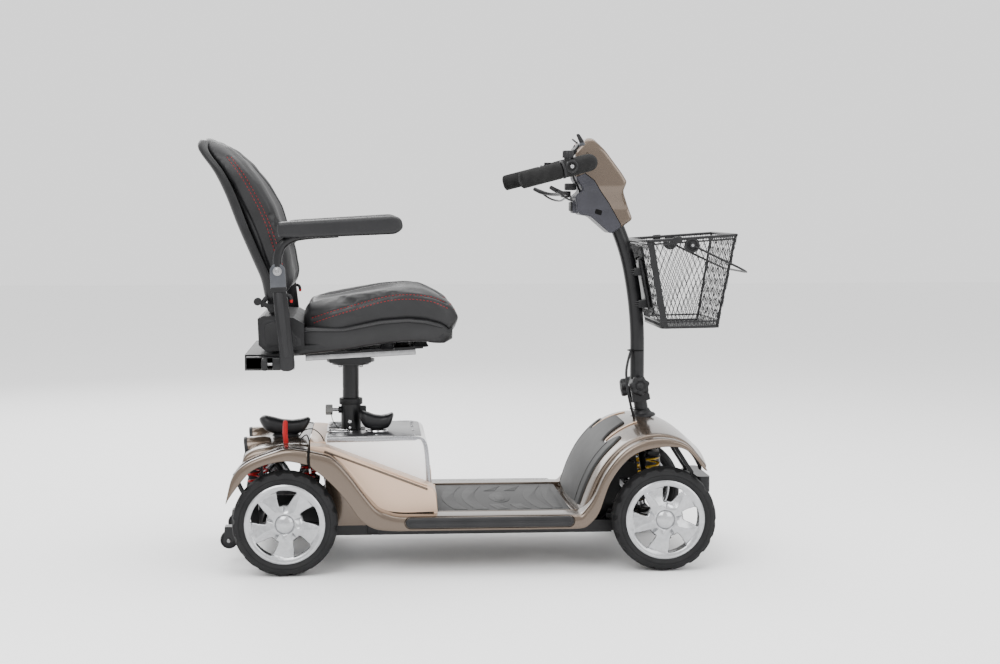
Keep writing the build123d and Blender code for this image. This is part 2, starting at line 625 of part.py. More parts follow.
def basket():
    """Open tub with hooks on its back, pivot discs and its folding handle."""
    half, foot = BASKET_W, BASKET_W - 22

    def section(inset, lift):
        low = Polyline((847 + inset, -foot + inset, 529 + lift), (977 - inset, -foot + inset, 531 + lift),
                       (977 - inset, foot - inset, 531 + lift), (847 + inset, foot - inset, 529 + lift),
                       close=True)
        high = Polyline((809 + inset, -half + inset, 728), (1015 - inset, -half + inset, 742),
                        (1015 - inset, half - inset, 742), (809 + inset, half - inset, 728), close=True)
        return Solid.make_loft([low.wire(), high.wire()], True)

    tub = section(0, 0) - section(4, 4)
    hook = [on_panel(156.5, 1), on_panel(156.5, -6), on_panel(148, -6), on_panel(148, -10),
            on_panel(162, -10), on_panel(162, 1)]
    for s in SIDES.values():
        tub += plate(hook, s * (HOOK_Y - 8), s * (HOOK_Y + 8))
    discs = both(cross_rod(911, 718, BASKET_W - 3, BASKET_W + 3, 34) +
                 cross_rod(911, 718, BASKET_W, BASKET_W + 12, 7))
    for disc in discs:
        tub += disc
    add("basket", tub)
    y = BASKET_W + 7
    path = [(911, -y, 718), (1041, -y, 656), (1041, y, 656), (911, y, 718)]
    bail = tube(path, [36, 36], 5)
    for s in SIDES.values():
        bail += cross_rod(911, 718, s * (y - 3), s * (y + 3), 15)
    for s in SIDES.values():
        bail -= cross_rod(911, 718, s * (y - 12), s * (y + 12), 7 + 2 * FIT)
    add("basket_handle", bail)


def basket_bracket():
    """Plate that the basket hooks over, with two clamps around the tiller tube."""
    board = plate([on_panel(40, -5.5), on_panel(40, -GAP), on_panel(156, -GAP), on_panel(156, -5.5)],
                  -44, 44)
    bracket = board
    tiller = tube(TILLER_PATH, TILLER_BENDS, TILLER_D)
    for up in (52, 128):
        x, z = on_panel(up, -5)
        clamp = block(x - 48, x, -24, 24, z - 8, z + 8)
        bracket += clamp
    bracket -= plate([on_panel(30, -GAP), on_panel(30, 60), on_panel(170, 60), on_panel(170, -GAP)],
                     -60, 60)
    bracket -= tiller
    add("basket_bracket", max(bracket.solids(), key=lambda s: s.volume))


# ---------------------------------------------------------------- bodywork
FENDER_TOP = [(-128, 161), (-112, 222), (-87, 248), (-30, 272), (4, 281), (SEAM_X, 276)]
FENDER_LIP = [(-123, 168), (-99, 201), (-72, 231), (-39, 246), (5, 253), (SEAM_X, 244)]
SWEEP_TOP = [(SEAM_X, 276), (104, 261), (140, 225), (176, 177), (205, 144), (241, 131)]
SWEEP_LIP = [(SEAM_X, 244), (97, 207), (133, 167), (168, 119), (197, 102), (241, 97)]
LEDGE = [(84, 279), (316, 190), (331, 183), (334, DECK_Z)]
SHROUD_MID = [(640, 126), (657, 190), (694, 253), (752, 301), (815, 318), (880, 302), (945, 249)]
SHROUD_EDGE = [(656, 126), (674, 162), (706, 226), (757, 279), (823, 297), (885, 281), (930, 223)]
SHROUD_LIP = [(667, 103), (684, 124), (717, 206), (764, 259), (828, 276), (880, 270), (922, 224)]
LAMP_Y, LAMP_Z = 90.0, 261.0


def lamp_housing(grow=0.0):
    """One tail-light housing, tapering forward."""
    cone = Cone(25 + grow, 17 + grow, 58, align=(C, C, LO))
    return Plane(origin=(-93, LAMP_Y, LAMP_Z), z_dir=(1, 0, 0.12)) * cone


def rear_cover():
    """Rear fenders and the cover between them."""
    top = [(-94, 240), (-88, 262), (-60, 274), (0, 281), (SEAM_X - 1.5, 281)]
    cover = band(top, SKIN, -186, 186)
    for s in SIDES.values():
        wall = curved_plate(top, [(-94, 240), (SEAM_X - 1.5, 240)], s * 183, s * 186)
        cover += wall
        cover += band(FENDER_TOP[:-1] + [(SEAM_X - 1.5, 276)], SKIN, s * 184, s * BODY_W)
        lip_top = FENDER_TOP[:-1] + [(SEAM_X - 1.5, 276)]
        lip_low = FENDER_LIP[:-1] + [(SEAM_X - 1.5, 244)]
        cover += curved_plate(lip_top, lip_low, s * (BODY_W - SKIN), s * BODY_W)
    cover -= block(FREEWHEEL_X - 26, FREEWHEEL_X + 10, FREEWHEEL_Y - 7, FREEWHEEL_Y + 7, 266, 300)
    for piece in both(lamp_housing()):
        cover -= piece
    add("rear_body_cover", max(cover.solids(), key=lambda s: s.volume))


def tail_lights():
    housing = lamp_housing()
    lens = Plane(origin=(-93, LAMP_Y, LAMP_Z), z_dir=(1, 0, 0.12)) * Cylinder(21, 5, align=(C, C, LO))
    add("tail_light_housings", both(housing - lens))
    add("tail_light_lenses", both(lens))


def shroud_section(y, distance=0.0, count=None, thickness=SKIN):
    """Section of the crowned front shroud at y, or of a sheet that lies on it."""
    share = (y / BODY_W) ** 2
    points = []
    for (mx, mz), (ex, ez) in zip(SHROUD_MID, SHROUD_EDGE):
        points.append((mx + (ex - mx) * share, mz + (ez - mz) * share))
    points = shifted(points[:count], -distance)
    return band_face(points, thickness, y)


def main_body():
    """Side panels, deck with its skirt, leg shield and front fenders, as one moulding."""
    body = loft([shroud_section(y) for y in (-BODY_W, -150, 0, 150, BODY_W)])
    deck = block(241, 672, -BODY_W, BODY_W, 97, DECK_Z)
    deck -= block(200, 690, -BODY_W + SKIN, BODY_W - SKIN, 90, 118)
    deck -= block(200, 336, -214, 214, 90, 140)
    deck -= block(336, 650, -MAT_W - 1, MAT_W + 1, 122, 140)
    deck -= plate([(660, 90), (672, 126), (700, 126), (700, 90)], -BODY_W - 1, BODY_W + 1)
    body += deck
    for s in SIDES.values():
        body += curved_plate(SHROUD_EDGE, SHROUD_LIP, s * (BODY_W - SKIN), s * BODY_W)
        start = (SEAM_X, 276)
        body += band([start] + SWEEP_TOP[1:], SKIN, s * 184, s * BODY_W)
        body += curved_plate(SWEEP_TOP, SWEEP_LIP, s * (BODY_W - SKIN), s * BODY_W)
        panel = LEDGE + [(241, 128), (205, 141), (176, 174), (140, 222), (104, 258), (SEAM_X, 273),
                         (SEAM_X, 281), (84, 281)]
        body += plate(panel, s * 214, s * 217)
        body += plate([(SEAM_X, 281), (84, 282), (316, 193), (331, 186), (337, 128), (333, 128),
                       (328, 183), (315, 189), (84, 278), (SEAM_X, 277)], s * (BATTERY_W + 2), s * 217)
        body += plate(LEDGE + [(241, DECK_Z - 4), (84, DECK_Z + 40)], s * (BATTERY_W + 2),
                      s * (BATTERY_W + 5))
    body += block(SEAM_X, 82, -BATTERY_W - 4, BATTERY_W + 4, 277, 281)
    axis = Pos(COLUMN_SHIFT, 0, 100)
    body -= STEER * axis * Cylinder(40, 200, align=(C, C, LO))
    add("main_body", max(body.solids(), key=lambda s: s.volume))


def floor_mats():
    deck = block(338, 634, -MAT_W, MAT_W, 122, 127)
    shield = loft([shroud_section(y, 3.6, 5) for y in (-178, -90, 0, 90, 178)])
    shield -= block(600, 900, -200, 200, 60, 133)
    top = [(-178, 133), (178, 133), (178, 200), (120, 290), (60, 306), (-60, 306), (-120, 290),
           (-178, 200)]
    shield &= front_view(top, 600, 778)
    add("floor_mats", deck, max(shield.solids(), key=lambda s: s.volume))


def side_strips():
    strip = block(262, 633, BODY_W, BODY_W + 7, 104, 128)
    strip = fillet(strip.edges().filter_by(Axis.Y), 11)
    add("side_rubber_strips", both(strip))


HANDLE_SPOTS = [(-6.0, -40.0, 281.5), (202.0, -40.0, 290.6)]
BATTERY_SIDE = [(84, 132), (84, 289), (298, 291), (311, 283), (318, 250), (322, 180), (323, 132)]


def battery():
    """Battery box with a slot for the seat post, and the bright bands along its edges."""
    box = plate(BATTERY_SIDE, -BATTERY_W, BATTERY_W)
    reach = SOCKET_D / 2 + 9
    box -= block(70, POST_X + reach, -reach, reach, 120, 300)
    hollow = plate([(90, 138), (90, 280), (292, 282), (310, 250), (315, 138)], -BATTERY_W + 5,
                   BATTERY_W - 5)
    hollow -= block(60, POST_X + reach + 4, -reach - 4, reach + 4, 100, 310)
    box -= hollow
    edge = plate(BATTERY_SIDE, BATTERY_W, BATTERY_W + 1.6)
    inset = [(80, 120), (80, 278), (294, 280), (303, 274), (309, 246), (313, 180), (314, 120)]
    edge -= plate(inset, BATTERY_W - 1, BATTERY_W + 3)
    add("battery_box", box, both(edge))


def saddle_handle(length):
    """A hand grip with upturned ends, on a round stem."""
    k = length / 114
    outline = make_face([
        ThreePointArc((-57 * k, 0, 46), (4 * k, 0, 36), (57 * k, 0, 42)),
        Line((57 * k, 0, 42), (52 * k, 0, 28)),
        ThreePointArc((52 * k, 0, 28), (30 * k, 0, 14), (14 * k, 0, 11)),
        Line((14 * k, 0, 11), (-14 * k, 0, 11)),
        ThreePointArc((-14 * k, 0, 11), (-36 * k, 0, 17), (-60 * k, 0, 38)),
        Line((-60 * k, 0, 38), (-57 * k, 0, 46)),
    ])
    grip = Pos(0, -20, 0) * extrude(outline, amount=40, dir=(0, 1, 0))
    grip += Cylinder(13, 14, align=(C, C, LO))
    return grip + Cylinder(18, 4, align=(C, C, LO))


def saddle_handles():
    """Two hand grips shaped like small saddles, one on the rear cover and one on the battery."""
    for (x, y, z), length in zip(HANDLE_SPOTS, (114, 78)):
        add("saddle_handles", Pos(x, y, z) * saddle_handle(length))


# ---------------------------------------------------------------- seat
def seat_post():
    low, top = 200.0, 442.0
    post = rod((POST_X, 0, low), (POST_X, 0, top), POST_D)
    post += rod((POST_X, 0, top), (POST_X, 0, top + 6), 86)
    post -= rod((POST_X, 0, low), (POST_X, 0, top - 24), POST_D - 8)
    post -= rod((POST_X, 0, low), (POST_X, 0, top + 6), 24 + 2 * FIT)
    for i in range(-2, 3):
        z = PIN_Z + HOLE_PITCH * i
        post -= rod((POST_X - 30, 0, z), (POST_X + 30, 0, z), PIN_D + 0.4)
    add("seat_post", post)


def seat_rails():
    """Swivel plate with its spigot, and the two rails that the seat slides on."""
    base = 448.0 + GAP / 2
    body = rod((POST_X, 0, base), (POST_X, 0, base + 6), 110)
    body += rod((POST_X, 0, base - 30), (POST_X, 0, base + 1), 24)
    body += plate([(96, base + 5), (189, base + 5), (189, 469), (96, 464)], -104, 104)
    for s in SIDES.values():
        rail = block(-100, 147, s * 102, s * 116, -13, 0)
        body += SEAT * rail
    add("seat_rails", body)


def seat_frame():
    """Slide plate under the seat and the cross tube that the armrests slide into."""
    deck = SEAT * block(-140, 164, -128, 128, GAP, GAP + 5)
    tube_out = block(-86, -10, -205, 205, 447, 482)
    for s in SIDES.values():
        link = plate([(-12, 474), (20, 474), (20, 481), (-12, 481)], s * 80, s * 110)
        tube_out += link
    tube_out -= block(-83, -13, -206, 206, 450, 479)
    frame = deck + tube_out
    frame += block(-60, -36, 196, 205, 440, 448)
    add("seat_frame", frame)


def seat_shell():
    """Moulded pan under the cushion, with the backrest's hinge behind it."""
    pan_top = [(40, 500), (129, 512), (213, 528), (270, 532), (350, 524)]
    shell = band(pan_top, 9, -196, 196)
    for x in (70, 260):
        for s in SIDES.values():
            foot = SEAT.to_local_coords(Vector(x, 0, 0))
            low = SEAT * Pos(foot.X, s * 90, GAP + 5) * Cylinder(17, 60, align=(C, C, LO))
            low &= curved_plate([(40, 496), (129, 508), (213, 524), (270, 528), (350, 520)],
                                [(40, 440), (350, 440)], -196, 196)
            shell += low
    rear = [(-56, 502), (-58, 560), (-46, 566), (20, 562), (43, 548), (44, 492), (-40, 488)]
    hull = plate(rear, -198, 198)
    hull -= plate([(-52, 506), (-52, 556), (16, 556), (38, 542), (38, 498), (-38, 494)], -194, 194)
    shell += hull
    for y0, y1 in HINGE_FIXED:
        for s in SIDES.values():
            shell += cross_rod(BACK_X, BACK_Z, s * y0, s * y1, 22)
            shell += block(BACK_X - 9, BACK_X + 9, s * y0, s * y1, 560, BACK_Z)
    shell -= cross_rod(BACK_X, BACK_Z, -200, 200, 8)
    pin = cross_rod(BACK_X, BACK_Z, -192, 172, 8)
    add("seat_shell", max(shell.solids(), key=lambda s: s.volume), pin)


HINGE_FIXED = [(60.0, 110.0)]
HINGE_MOVING = [(110.0 + GAP, 160.0)]
BACK_REAR = [(-192, 941), (-184, 924), (-153, 882), (-129, 834), (-102, 763), (-68, 683),
             (-52, 644), (-46, 600)]
BACK_FRONT = [(-161, 958), (-124, 938), (-87, 906), (-50, 858), (-20, 805), (-9, 767), (10, 706),
              (22, 640), (12, 602)]


def back_outline():
    """The backrest seen from the front, with large round top corners."""
    w = BACK_W
    wires = [
        Line((-300, -w, 590), (-300, w, 590)),
        Line((-300, w, 590), (-300, w, 850)),
        ThreePointArc((-300, w, 850), (-300, w - 38, 932), (-300, w - 115, 963)),
        Line((-300, w - 115, 963), (-300, -w + 115, 963)),
        ThreePointArc((-300, -w + 115, 963), (-300, -w + 38, 932), (-300, -w, 850)),
        Line((-300, -w, 850), (-300, -w, 590)),
    ]
    return extrude(make_face(wires), amount=400, dir=(1, 0, 0))


def backrest():
    """Hard shell with its hinge barrels, and the cushion in front of it."""
    outline = back_outline()
    shell = band(BACK_REAR, -13, -BACK_W, BACK_W) & outline
    for y0, y1 in HINGE_MOVING:
        for s in SIDES.values():
            shell += cross_rod(BACK_X, BACK_Z, s * y0, s * y1, 22)
            shell += block(BACK_X - 10, BACK_X + 2, s * y0, s * y1, BACK_Z, 640)
    shell -= cross_rod(BACK_X, BACK_Z, -200, 200, 8 + 2 * FIT)
    crest = [(-178, 958), (-161, 962)]
    rear = shifted(BACK_REAR, -13.4)
    pad_rear = rear[:-1] + [(-24, 650), (-20, 602)]
    face_lines = Spline(*side(crest + BACK_FRONT[1:], -BACK_W))
    back_lines = Polyline(*side([crest[0]] + pad_rear, -BACK_W))
    close = Line(face_lines @ 1, back_lines @ 1)
    cushion = extrude(make_face([face_lines, back_lines, close]), amount=2 * BACK_W, dir=(0, 1, 0))
    cushion &= outline
    shell -= cushion
    add("backrest_shell", max(shell.solids(), key=lambda s: s.volume))
    add("backrest_cushion", max(cushion.solids(), key=lambda s: s.volume))


def seat_cushion():
    top = [(47, 592), (130, 604), (214, 618), (270, 622), (312, 619), (351, 602), (377, 588),
           (386, 566), (380, 540), (358, 512)]
    low = [(58, 508), (129, 517), (213, 533), (270, 537), (312, 534), (348, 526)]
    upper = Spline(*side(top, -SEAT_W))
    under = Polyline(*side(low + [top[-1]], -SEAT_W))
    back = Line(under @ 0, upper @ 0)
    cushion = extrude(make_face([upper, under, back]), amount=2 * SEAT_W, dir=(0, 1, 0))
    cushion -= band([(40, 500), (129, 512), (213, 528), (270, 532), (350, 524)], 9, -SEAT_W, SEAT_W)
    add("seat_cushion", max(cushion.solids(), key=lambda s: s.volume))


def recline_lever():
    y = -184.0
    lever = cross_rod(BACK_X, BACK_Z, y - 4, y + 4, 18)
    arm = [(BACK_X - 3, BACK_Z - 4), (-55, 592), (-57, 602), (BACK_X + 3, BACK_Z + 6)]
    lever += plate(arm, y - 3, y + 3)
    lever += cross_rod(-58, 597, y - 7, y + 7, 17)
    lever -= cross_rod(BACK_X, BACK_Z, y - 8, y + 8, 8 + 2 * FIT)
    add("recline_lever", lever)


def armrests():
    for name, s in SIDES.items():
        support = block(-83 + GAP, -13 - GAP, s * 90, s * (ARM_Y - 23), 450 + GAP, 479 - GAP)
        support += block(-83 + GAP, 20, s * (ARM_Y - 30), s * (ARM_Y - 23), 451, 478)
        support += block(-24, 20, s * (ARM_Y - 24), s * (ARM_Y - 4), 451, 478)
        support += plate([(-21, 630), (7, 630), (24, 451), (-5, 451)], s * (ARM_Y - 6), s * (ARM_Y + 6))
        bracket = [(-24, 626), (8, 626), (6, 656), (4, ARM_Z), (-26, ARM_Z), (-26, 656)]
        for y0, y1 in ((-8.0, -5.5), (5.5, 8.0)):
            support += plate(bracket, s * (ARM_Y + y0), s * (ARM_Y + y1))
            support += cross_rod(ARM_X, ARM_Z, s * (ARM_Y + y0), s * (ARM_Y + y1), 30)
        support += cross_rod(ARM_X, ARM_Z, s * (ARM_Y - 10), s * (ARM_Y + 10), 8)
        support += rod((20, s * ARM_Y, 608), (3, s * ARM_Y, 610), 6)
        add(f"{name}_arm_support", support)

        path = [(ARM_X, s * ARM_Y, ARM_Z + 4), (ARM_X + 4, s * ARM_Y, 742), (150, s * ARM_Y, 750)]
        arm = tube(path, [46], 20)
        for y0, y1 in ((-11, -5), (5, 11)):
            arm -= block(ARM_X - 20, ARM_X + 20, s * (ARM_Y + y0), s * (ARM_Y + y1), 650, 694)
        arm += cross_rod(ARM_X, ARM_Z, s * (ARM_Y - 5), s * (ARM_Y + 5), 26)
        arm -= cross_rod(ARM_X, ARM_Z, s * (ARM_Y - 20), s * (ARM_Y + 20), 8 + 2 * FIT)
        pad_side = [(-8, 738), (-10, 770), (10, 773), (240, 786), (258, 777), (260, 756), (244, 746),
                    (39, 737)]
        pad = plate(pad_side, s * (PAD_Y - 25), s * (PAD_Y + 25))
        pad -= tube(path, [46], 20)
        add(f"{name}_armrest", arm, max(pad.solids(), key=lambda p: p.volume))

        y = s * (ARM_Y - 5)
        knob = Plane(origin=(-46, y, 464), x_dir=(0, 0, 1), z_dir=(1, 0, 0))
        shape = knob * star_knob(15, 12, 3)
        shape += rod((-35, y, 464), (-24 - GAP / 4, y, 464), 7)
        add(f"{name}_arm_knob", shape)


# ---------------------------------------------------------------- tiller lead
CABLE_PATH = [(793, -14, 470), (786, -24, 452), (779, -34, 425), (780, -40, 395), (785, -40, 365),
              (792, -34, 338), (800, -25, 312), (805, -19, 290)]
CABLE_D = 6.0


def tiller_cable():
    """Lead from the tiller down into the shroud, looping past the pivot."""
    radii = []
    for a, b, c in zip(CABLE_PATH, CABLE_PATH[1:], CABLE_PATH[2:]):
        before, after = Vector(*b) - Vector(*a), Vector(*c) - Vector(*b)
        half = math.radians(before.get_angle(after)) / 2
        radii.append(0.45 * min(before.length, after.length) / math.tan(half))
    print("tiller cable radii", [round(r) for r in radii])
    add("tiller_cable", tube(CABLE_PATH, radii, CABLE_D))


def build():
    """Makes every part, then writes them about the scooter's own middle."""
    for make in (rear_wheels, front_wheels, rear_frame, seat_post_socket, post_pin, drive_unit,
                 rear_springs, anti_tip_wheels, freewheel_lever, front_frame, front_axle,
                 front_springs, knuckles, track_rod, steering_column, tiller_knobs, tiller_tube,
                 tiller_head, handlebar, throttle_paddle, dash_controls, basket, basket_bracket,
                 rear_cover, tail_lights, main_body, floor_mats, side_strips, battery,
                 saddle_handles, seat_post, seat_rails, seat_frame, seat_shell, backrest,
                 seat_cushion, recline_lever, armrests, tiller_cable):
        make()
    box = Compound([s for solids in PARTS.values() for s in solids]).bounding_box()
    middle = (box.min.X + box.max.X) / 2
    os.makedirs("parts", exist_ok=True)
    for node, solids in PARTS.items():
        moved = [Pos(-middle, 0, 0) * solid for solid in solids]
        export_step(moved[0] if len(moved) == 1 else Compound(moved), f"parts/{node}.step")
    print(len(PARTS), "nodes, middle at", round(middle, 3), "box", box)
    return middle


MIDDLE = build()
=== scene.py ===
from math import copysign, cos, exp, pi, radians, sin, tan

import bmesh
import bpy
import numpy as np
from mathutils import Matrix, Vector
from mathutils.bvhtree import BVHTree
from mathutils.kdtree import KDTree


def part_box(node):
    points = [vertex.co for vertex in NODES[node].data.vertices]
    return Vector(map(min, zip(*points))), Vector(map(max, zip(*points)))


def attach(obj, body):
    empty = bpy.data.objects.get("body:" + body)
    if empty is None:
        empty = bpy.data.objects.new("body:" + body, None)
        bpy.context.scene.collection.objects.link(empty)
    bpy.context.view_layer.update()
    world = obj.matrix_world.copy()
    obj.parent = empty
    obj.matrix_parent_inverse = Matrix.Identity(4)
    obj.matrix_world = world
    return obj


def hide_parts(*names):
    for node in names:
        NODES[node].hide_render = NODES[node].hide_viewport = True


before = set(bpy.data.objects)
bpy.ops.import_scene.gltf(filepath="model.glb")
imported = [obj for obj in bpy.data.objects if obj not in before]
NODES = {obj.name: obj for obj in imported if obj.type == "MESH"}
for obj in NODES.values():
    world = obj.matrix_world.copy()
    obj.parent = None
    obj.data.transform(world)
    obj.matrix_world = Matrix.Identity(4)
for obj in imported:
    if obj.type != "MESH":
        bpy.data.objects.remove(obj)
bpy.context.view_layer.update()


def middle(node):
    low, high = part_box(node)
    return (low + high) / 2


X0 = middle("rear_left_tyre").x
X1 = middle("front_left_tyre").x
SIDES = ((1, "left"), (-1, "right"))
POST_X = 142.5


def at(x, y, z):
    """A place given in millimetres from the ground under the rear axle."""
    return Vector((X0 + x / 1000, y / 1000, z / 1000))


def circle(x, y, a, b, count):
    """An oval outline about (x, y)."""
    return [(x + a * cos(t), y + b * sin(t)) for t in np.linspace(0, 2 * pi, count)[:-1]]


def millimetres(spots):
    """The places that at() would be given for these points."""
    return [((p.x - X0) * 1000, p.y * 1000, p.z * 1000) for p in spots]


def once(s, *nodes):
    """What a pair stands in for, said by its left piece only."""
    return nodes if s > 0 else ()


def read(table, x):
    """The height at x of a line given by its points."""
    return np.interp(x, *zip(*table))


# ------------------------------------------------------------ materials
def nodes_of(name):
    material = bpy.data.materials.new(name)
    material.use_nodes = True
    tree = material.node_tree
    shader = tree.nodes["Principled BSDF"]
    return material, tree, shader


def add_node(tree, kind, **inputs):
    node = tree.nodes.new(kind)
    for key, value in inputs.items():
        node.inputs[key].default_value = value
    return node


def surface(name, dark, light, rough=(0.4, 0.5), scale=60, bump=0.05, bump_scale=400, metallic=0.0,
        coat=0.0, specular=0.5, bump_kind="noise", distance=0.0006):
    """A finish whose colour, roughness and relief all vary from place to place."""
    material, tree, shader = nodes_of(name)
    link = tree.links.new
    where = tree.nodes.new("ShaderNodeTexCoord").outputs["Object"]
    broad = add_node(tree, "ShaderNodeTexNoise", Scale=scale, Detail=4.0)
    link(where, broad.inputs["Vector"])
    ramp = tree.nodes.new("ShaderNodeValToRGB")
    ramp.color_ramp.elements[0].position = 0.3
    ramp.color_ramp.elements[1].position = 0.7
    ramp.color_ramp.elements[0].color = (*dark, 1)
    ramp.color_ramp.elements[1].color = (*light, 1)
    link(broad.outputs["Fac"], ramp.inputs["Fac"])
    link(ramp.outputs["Color"], shader.inputs["Base Color"])
    spread = tree.nodes.new("ShaderNodeMapRange")
    spread.inputs["To Min"].default_value = rough[0]
    spread.inputs["To Max"].default_value = rough[1]
    link(broad.outputs["Fac"], spread.inputs["Value"])
    link(spread.outputs["Result"], shader.inputs["Roughness"])
    if bump_kind == "noise":
        fine = add_node(tree, "ShaderNodeTexNoise", Scale=bump_scale, Detail=3.0)
        height = fine.outputs["Fac"]
    else:
        fine = add_node(tree, "ShaderNodeTexVoronoi", Scale=bump_scale)
        fine.feature = "DISTANCE_TO_EDGE" if bump_kind == "grain" else "F1"
        height = fine.outputs["Distance"]
    link(where, fine.inputs["Vector"])
    relief = add_node(tree, "ShaderNodeBump", Strength=bump, Distance=distance)
    link(height, relief.inputs["Height"])
    link(relief.outputs["Normal"], shader.inputs["Normal"])
    shader.inputs["Metallic"].default_value = metallic
    shader.inputs["Coat Weight"].default_value = coat
    shader.inputs["Coat Roughness"].default_value = 0.08
    shader.inputs["Specular IOR Level"].default_value = specular
    return material


MAT = {
    "paint": surface("champagne_paint", (0.088, 0.064, 0.046), (0.108, 0.079, 0.057), (0.20, 0.28),
        900, 0.05, 2500, 0.70, 0.55),
    "paint_pale": surface("champagne_panel", (0.50, 0.355, 0.255), (0.57, 0.405, 0.295),
        (0.34, 0.44), 900, 0.06, 2200, 0.40, 0.2),
    "black_coat": surface("black_powder_coat", (0.004, 0.004, 0.0045), (0.008, 0.008, 0.009),
        (0.24, 0.36), 30, 0.10, 900, specular=0.28),
    "black_plastic": surface("black_plastic", (0.006, 0.006, 0.0065), (0.011, 0.011, 0.012),
        (0.40, 0.54), 25, 0.16, 1400, specular=0.25),
    "soft_plastic": surface("soft_black_plastic", (0.009, 0.009, 0.010), (0.015, 0.015, 0.016),
        (0.34, 0.46), 18, 0.12, 1500, specular=0.25),
    "grey_plastic": surface("dark_grey_plastic", (0.024, 0.024, 0.031), (0.034, 0.034, 0.043),
        (0.38, 0.50), 22, 0.14, 1600, specular=0.3),
    "tyre": surface("tyre_rubber", (0.006, 0.006, 0.0065), (0.012, 0.012, 0.0125), (0.58, 0.76),
        35, 0.22, 700, specular=0.2),
    "foam": surface("grip_foam", (0.008, 0.008, 0.008), (0.015, 0.015, 0.015), (0.80, 0.92), 60,
        0.45, 1500, bump_kind="cell", specular=0.15),
    "mat": surface("mat_rubber", (0.030, 0.030, 0.030), (0.040, 0.040, 0.040), (0.50, 0.62), 28,
        0.20, 900, specular=0.25),
    "mat_dark": surface("mat_band_rubber", (0.011, 0.011, 0.011), (0.017, 0.017, 0.017),
        (0.46, 0.58), 28, 0.25, 700, specular=0.3),
    "wheel": surface("wheel_silver", (0.34, 0.345, 0.355), (0.41, 0.415, 0.425), (0.20, 0.28), 120,
        0.05, 1800, 0.75, 0.2),
    # battery finish: the near-white colour is painted glare over the silver box, not the box's own
    # colour
    "white": surface("battery_painted_glare", (0.86, 0.86, 0.86), (0.92, 0.92, 0.92), (0.35, 0.45), 14,
        0.05, 900),
    "silver": surface("battery_silver", (0.26, 0.265, 0.28), (0.31, 0.315, 0.33), (0.22, 0.32),
        300, 0.05, 1800, 0.80, 0.4),
    "dark_silver": surface("battery_top_silver", (0.060, 0.060, 0.066), (0.085, 0.085, 0.092),
        (0.28, 0.38), 40, 0.05, 1500, 0.6, 0.5),
    "steel": surface("bare_steel", (0.24, 0.24, 0.245), (0.34, 0.34, 0.345), (0.24, 0.40), 90,
        0.10, 600, 0.95),
    "chrome": surface("bright_chrome", (0.50, 0.50, 0.51), (0.60, 0.60, 0.61), (0.08, 0.16), 50,
        0.02, 800, 1.0),
    "cast": surface("cast_aluminium", (0.11, 0.11, 0.115), (0.18, 0.18, 0.185), (0.42, 0.58), 60,
        0.35, 500, 0.8),
    "yellow": surface("yellow_enamel", (0.46, 0.27, 0.003), (0.58, 0.35, 0.006), (0.28, 0.38), 60,
        0.04, 900, coat=0.2),
    "red": surface("red_enamel", (0.26, 0.0008, 0.002), (0.34, 0.0015, 0.004), (0.28, 0.38), 50,
        0.04, 900, coat=0.1, specular=0.2),
    "lens": surface("red_lens", (0.20, 0.002, 0.003), (0.30, 0.004, 0.006), (0.08, 0.16), 120,
        0.35, 260, coat=0.5, bump_kind="cell"),
    "leather": surface("black_leatherette", (0.0085, 0.0085, 0.009), (0.014, 0.014, 0.015),
        (0.34, 0.48), 16, 0.30, 620, bump_kind="grain", distance=0.0004, specular=0.28),
    "thread": surface("red_thread", (0.22, 0.003, 0.006), (0.34, 0.006, 0.010), (0.6, 0.75), 400,
        0.4, 1600, specular=0.2),
    "steel_grey": surface("grey_bracket", (0.034, 0.037, 0.043), (0.052, 0.055, 0.064),
        (0.30, 0.42), 40, 0.10, 900, 0.4, 0.2),
    "knob_grey": surface("pale_grey_plastic", (0.16, 0.16, 0.155), (0.22, 0.22, 0.215),
        (0.32, 0.44), 60, 0.10, 1200),
    # near-black finish: painted shade for groove, seam, slot and gap lines, and the real colour of
    # black cords, ties and screws
    "dark": surface("painted_shade_and_black_cord", (0.003, 0.003, 0.003), (0.005, 0.005, 0.005), (0.7, 0.85), 30,
        0.1, 500, specular=0.1),
}


# ------------------------------------------------------------ mesh helpers
def make(name, points, faces, finish, body, smooth=40, level=0, bevel=0.0, thick=0.0, replaces=(),
        out=1.0):
    """A mesh in the row frame, finished with its modifiers and riding on a body."""
    mesh = bpy.data.meshes.new(name)
    mesh.from_pydata([tuple(p) for p in points], [], [tuple(f) for f in faces])
    mesh.validate()
    obj = bpy.data.objects.new(name, mesh)
    bpy.context.scene.collection.objects.link(obj)
    return finished(obj, finish, body, smooth, level, bevel, thick, replaces, out)


def finished(obj, finish, body, smooth=40, level=0, bevel=0.0, thick=0.0, replaces=(), out=1.0):
    work = bmesh.new()
    work.from_mesh(obj.data)
    bmesh.ops.remove_doubles(work, verts=work.verts, dist=1e-6)
    if not thick:
        bmesh.ops.recalc_face_normals(work, faces=work.faces)
    work.to_mesh(obj.data)
    work.free()
    if bevel:
        edge = obj.modifiers.new("edge", "BEVEL")
        edge.width = bevel / 1000
        edge.segments = 2
        edge.limit_method = "ANGLE"
        edge.angle_limit = radians(35)
    if thick:
        wall = obj.modifiers.new("wall", "SOLIDIFY")
        wall.thickness = thick / 1000
        wall.offset = -out
    if level:
        sub = obj.modifiers.new("smooth", "SUBSURF")
        sub.levels = level
        sub.render_levels = level
    if obj.modifiers:
        apply(obj)
    obj.data.materials.clear()
    obj.data.materials.append(MAT[finish])
    shade(obj, smooth)
    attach(obj, body)
    if replaces:
        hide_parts(*replaces)
    return obj


def apply(obj):
    graph = bpy.context.evaluated_depsgraph_get()
    fresh = bpy.data.meshes.new_from_object(obj.evaluated_get(graph))
    obj.modifiers.clear()
    obj.data = fresh


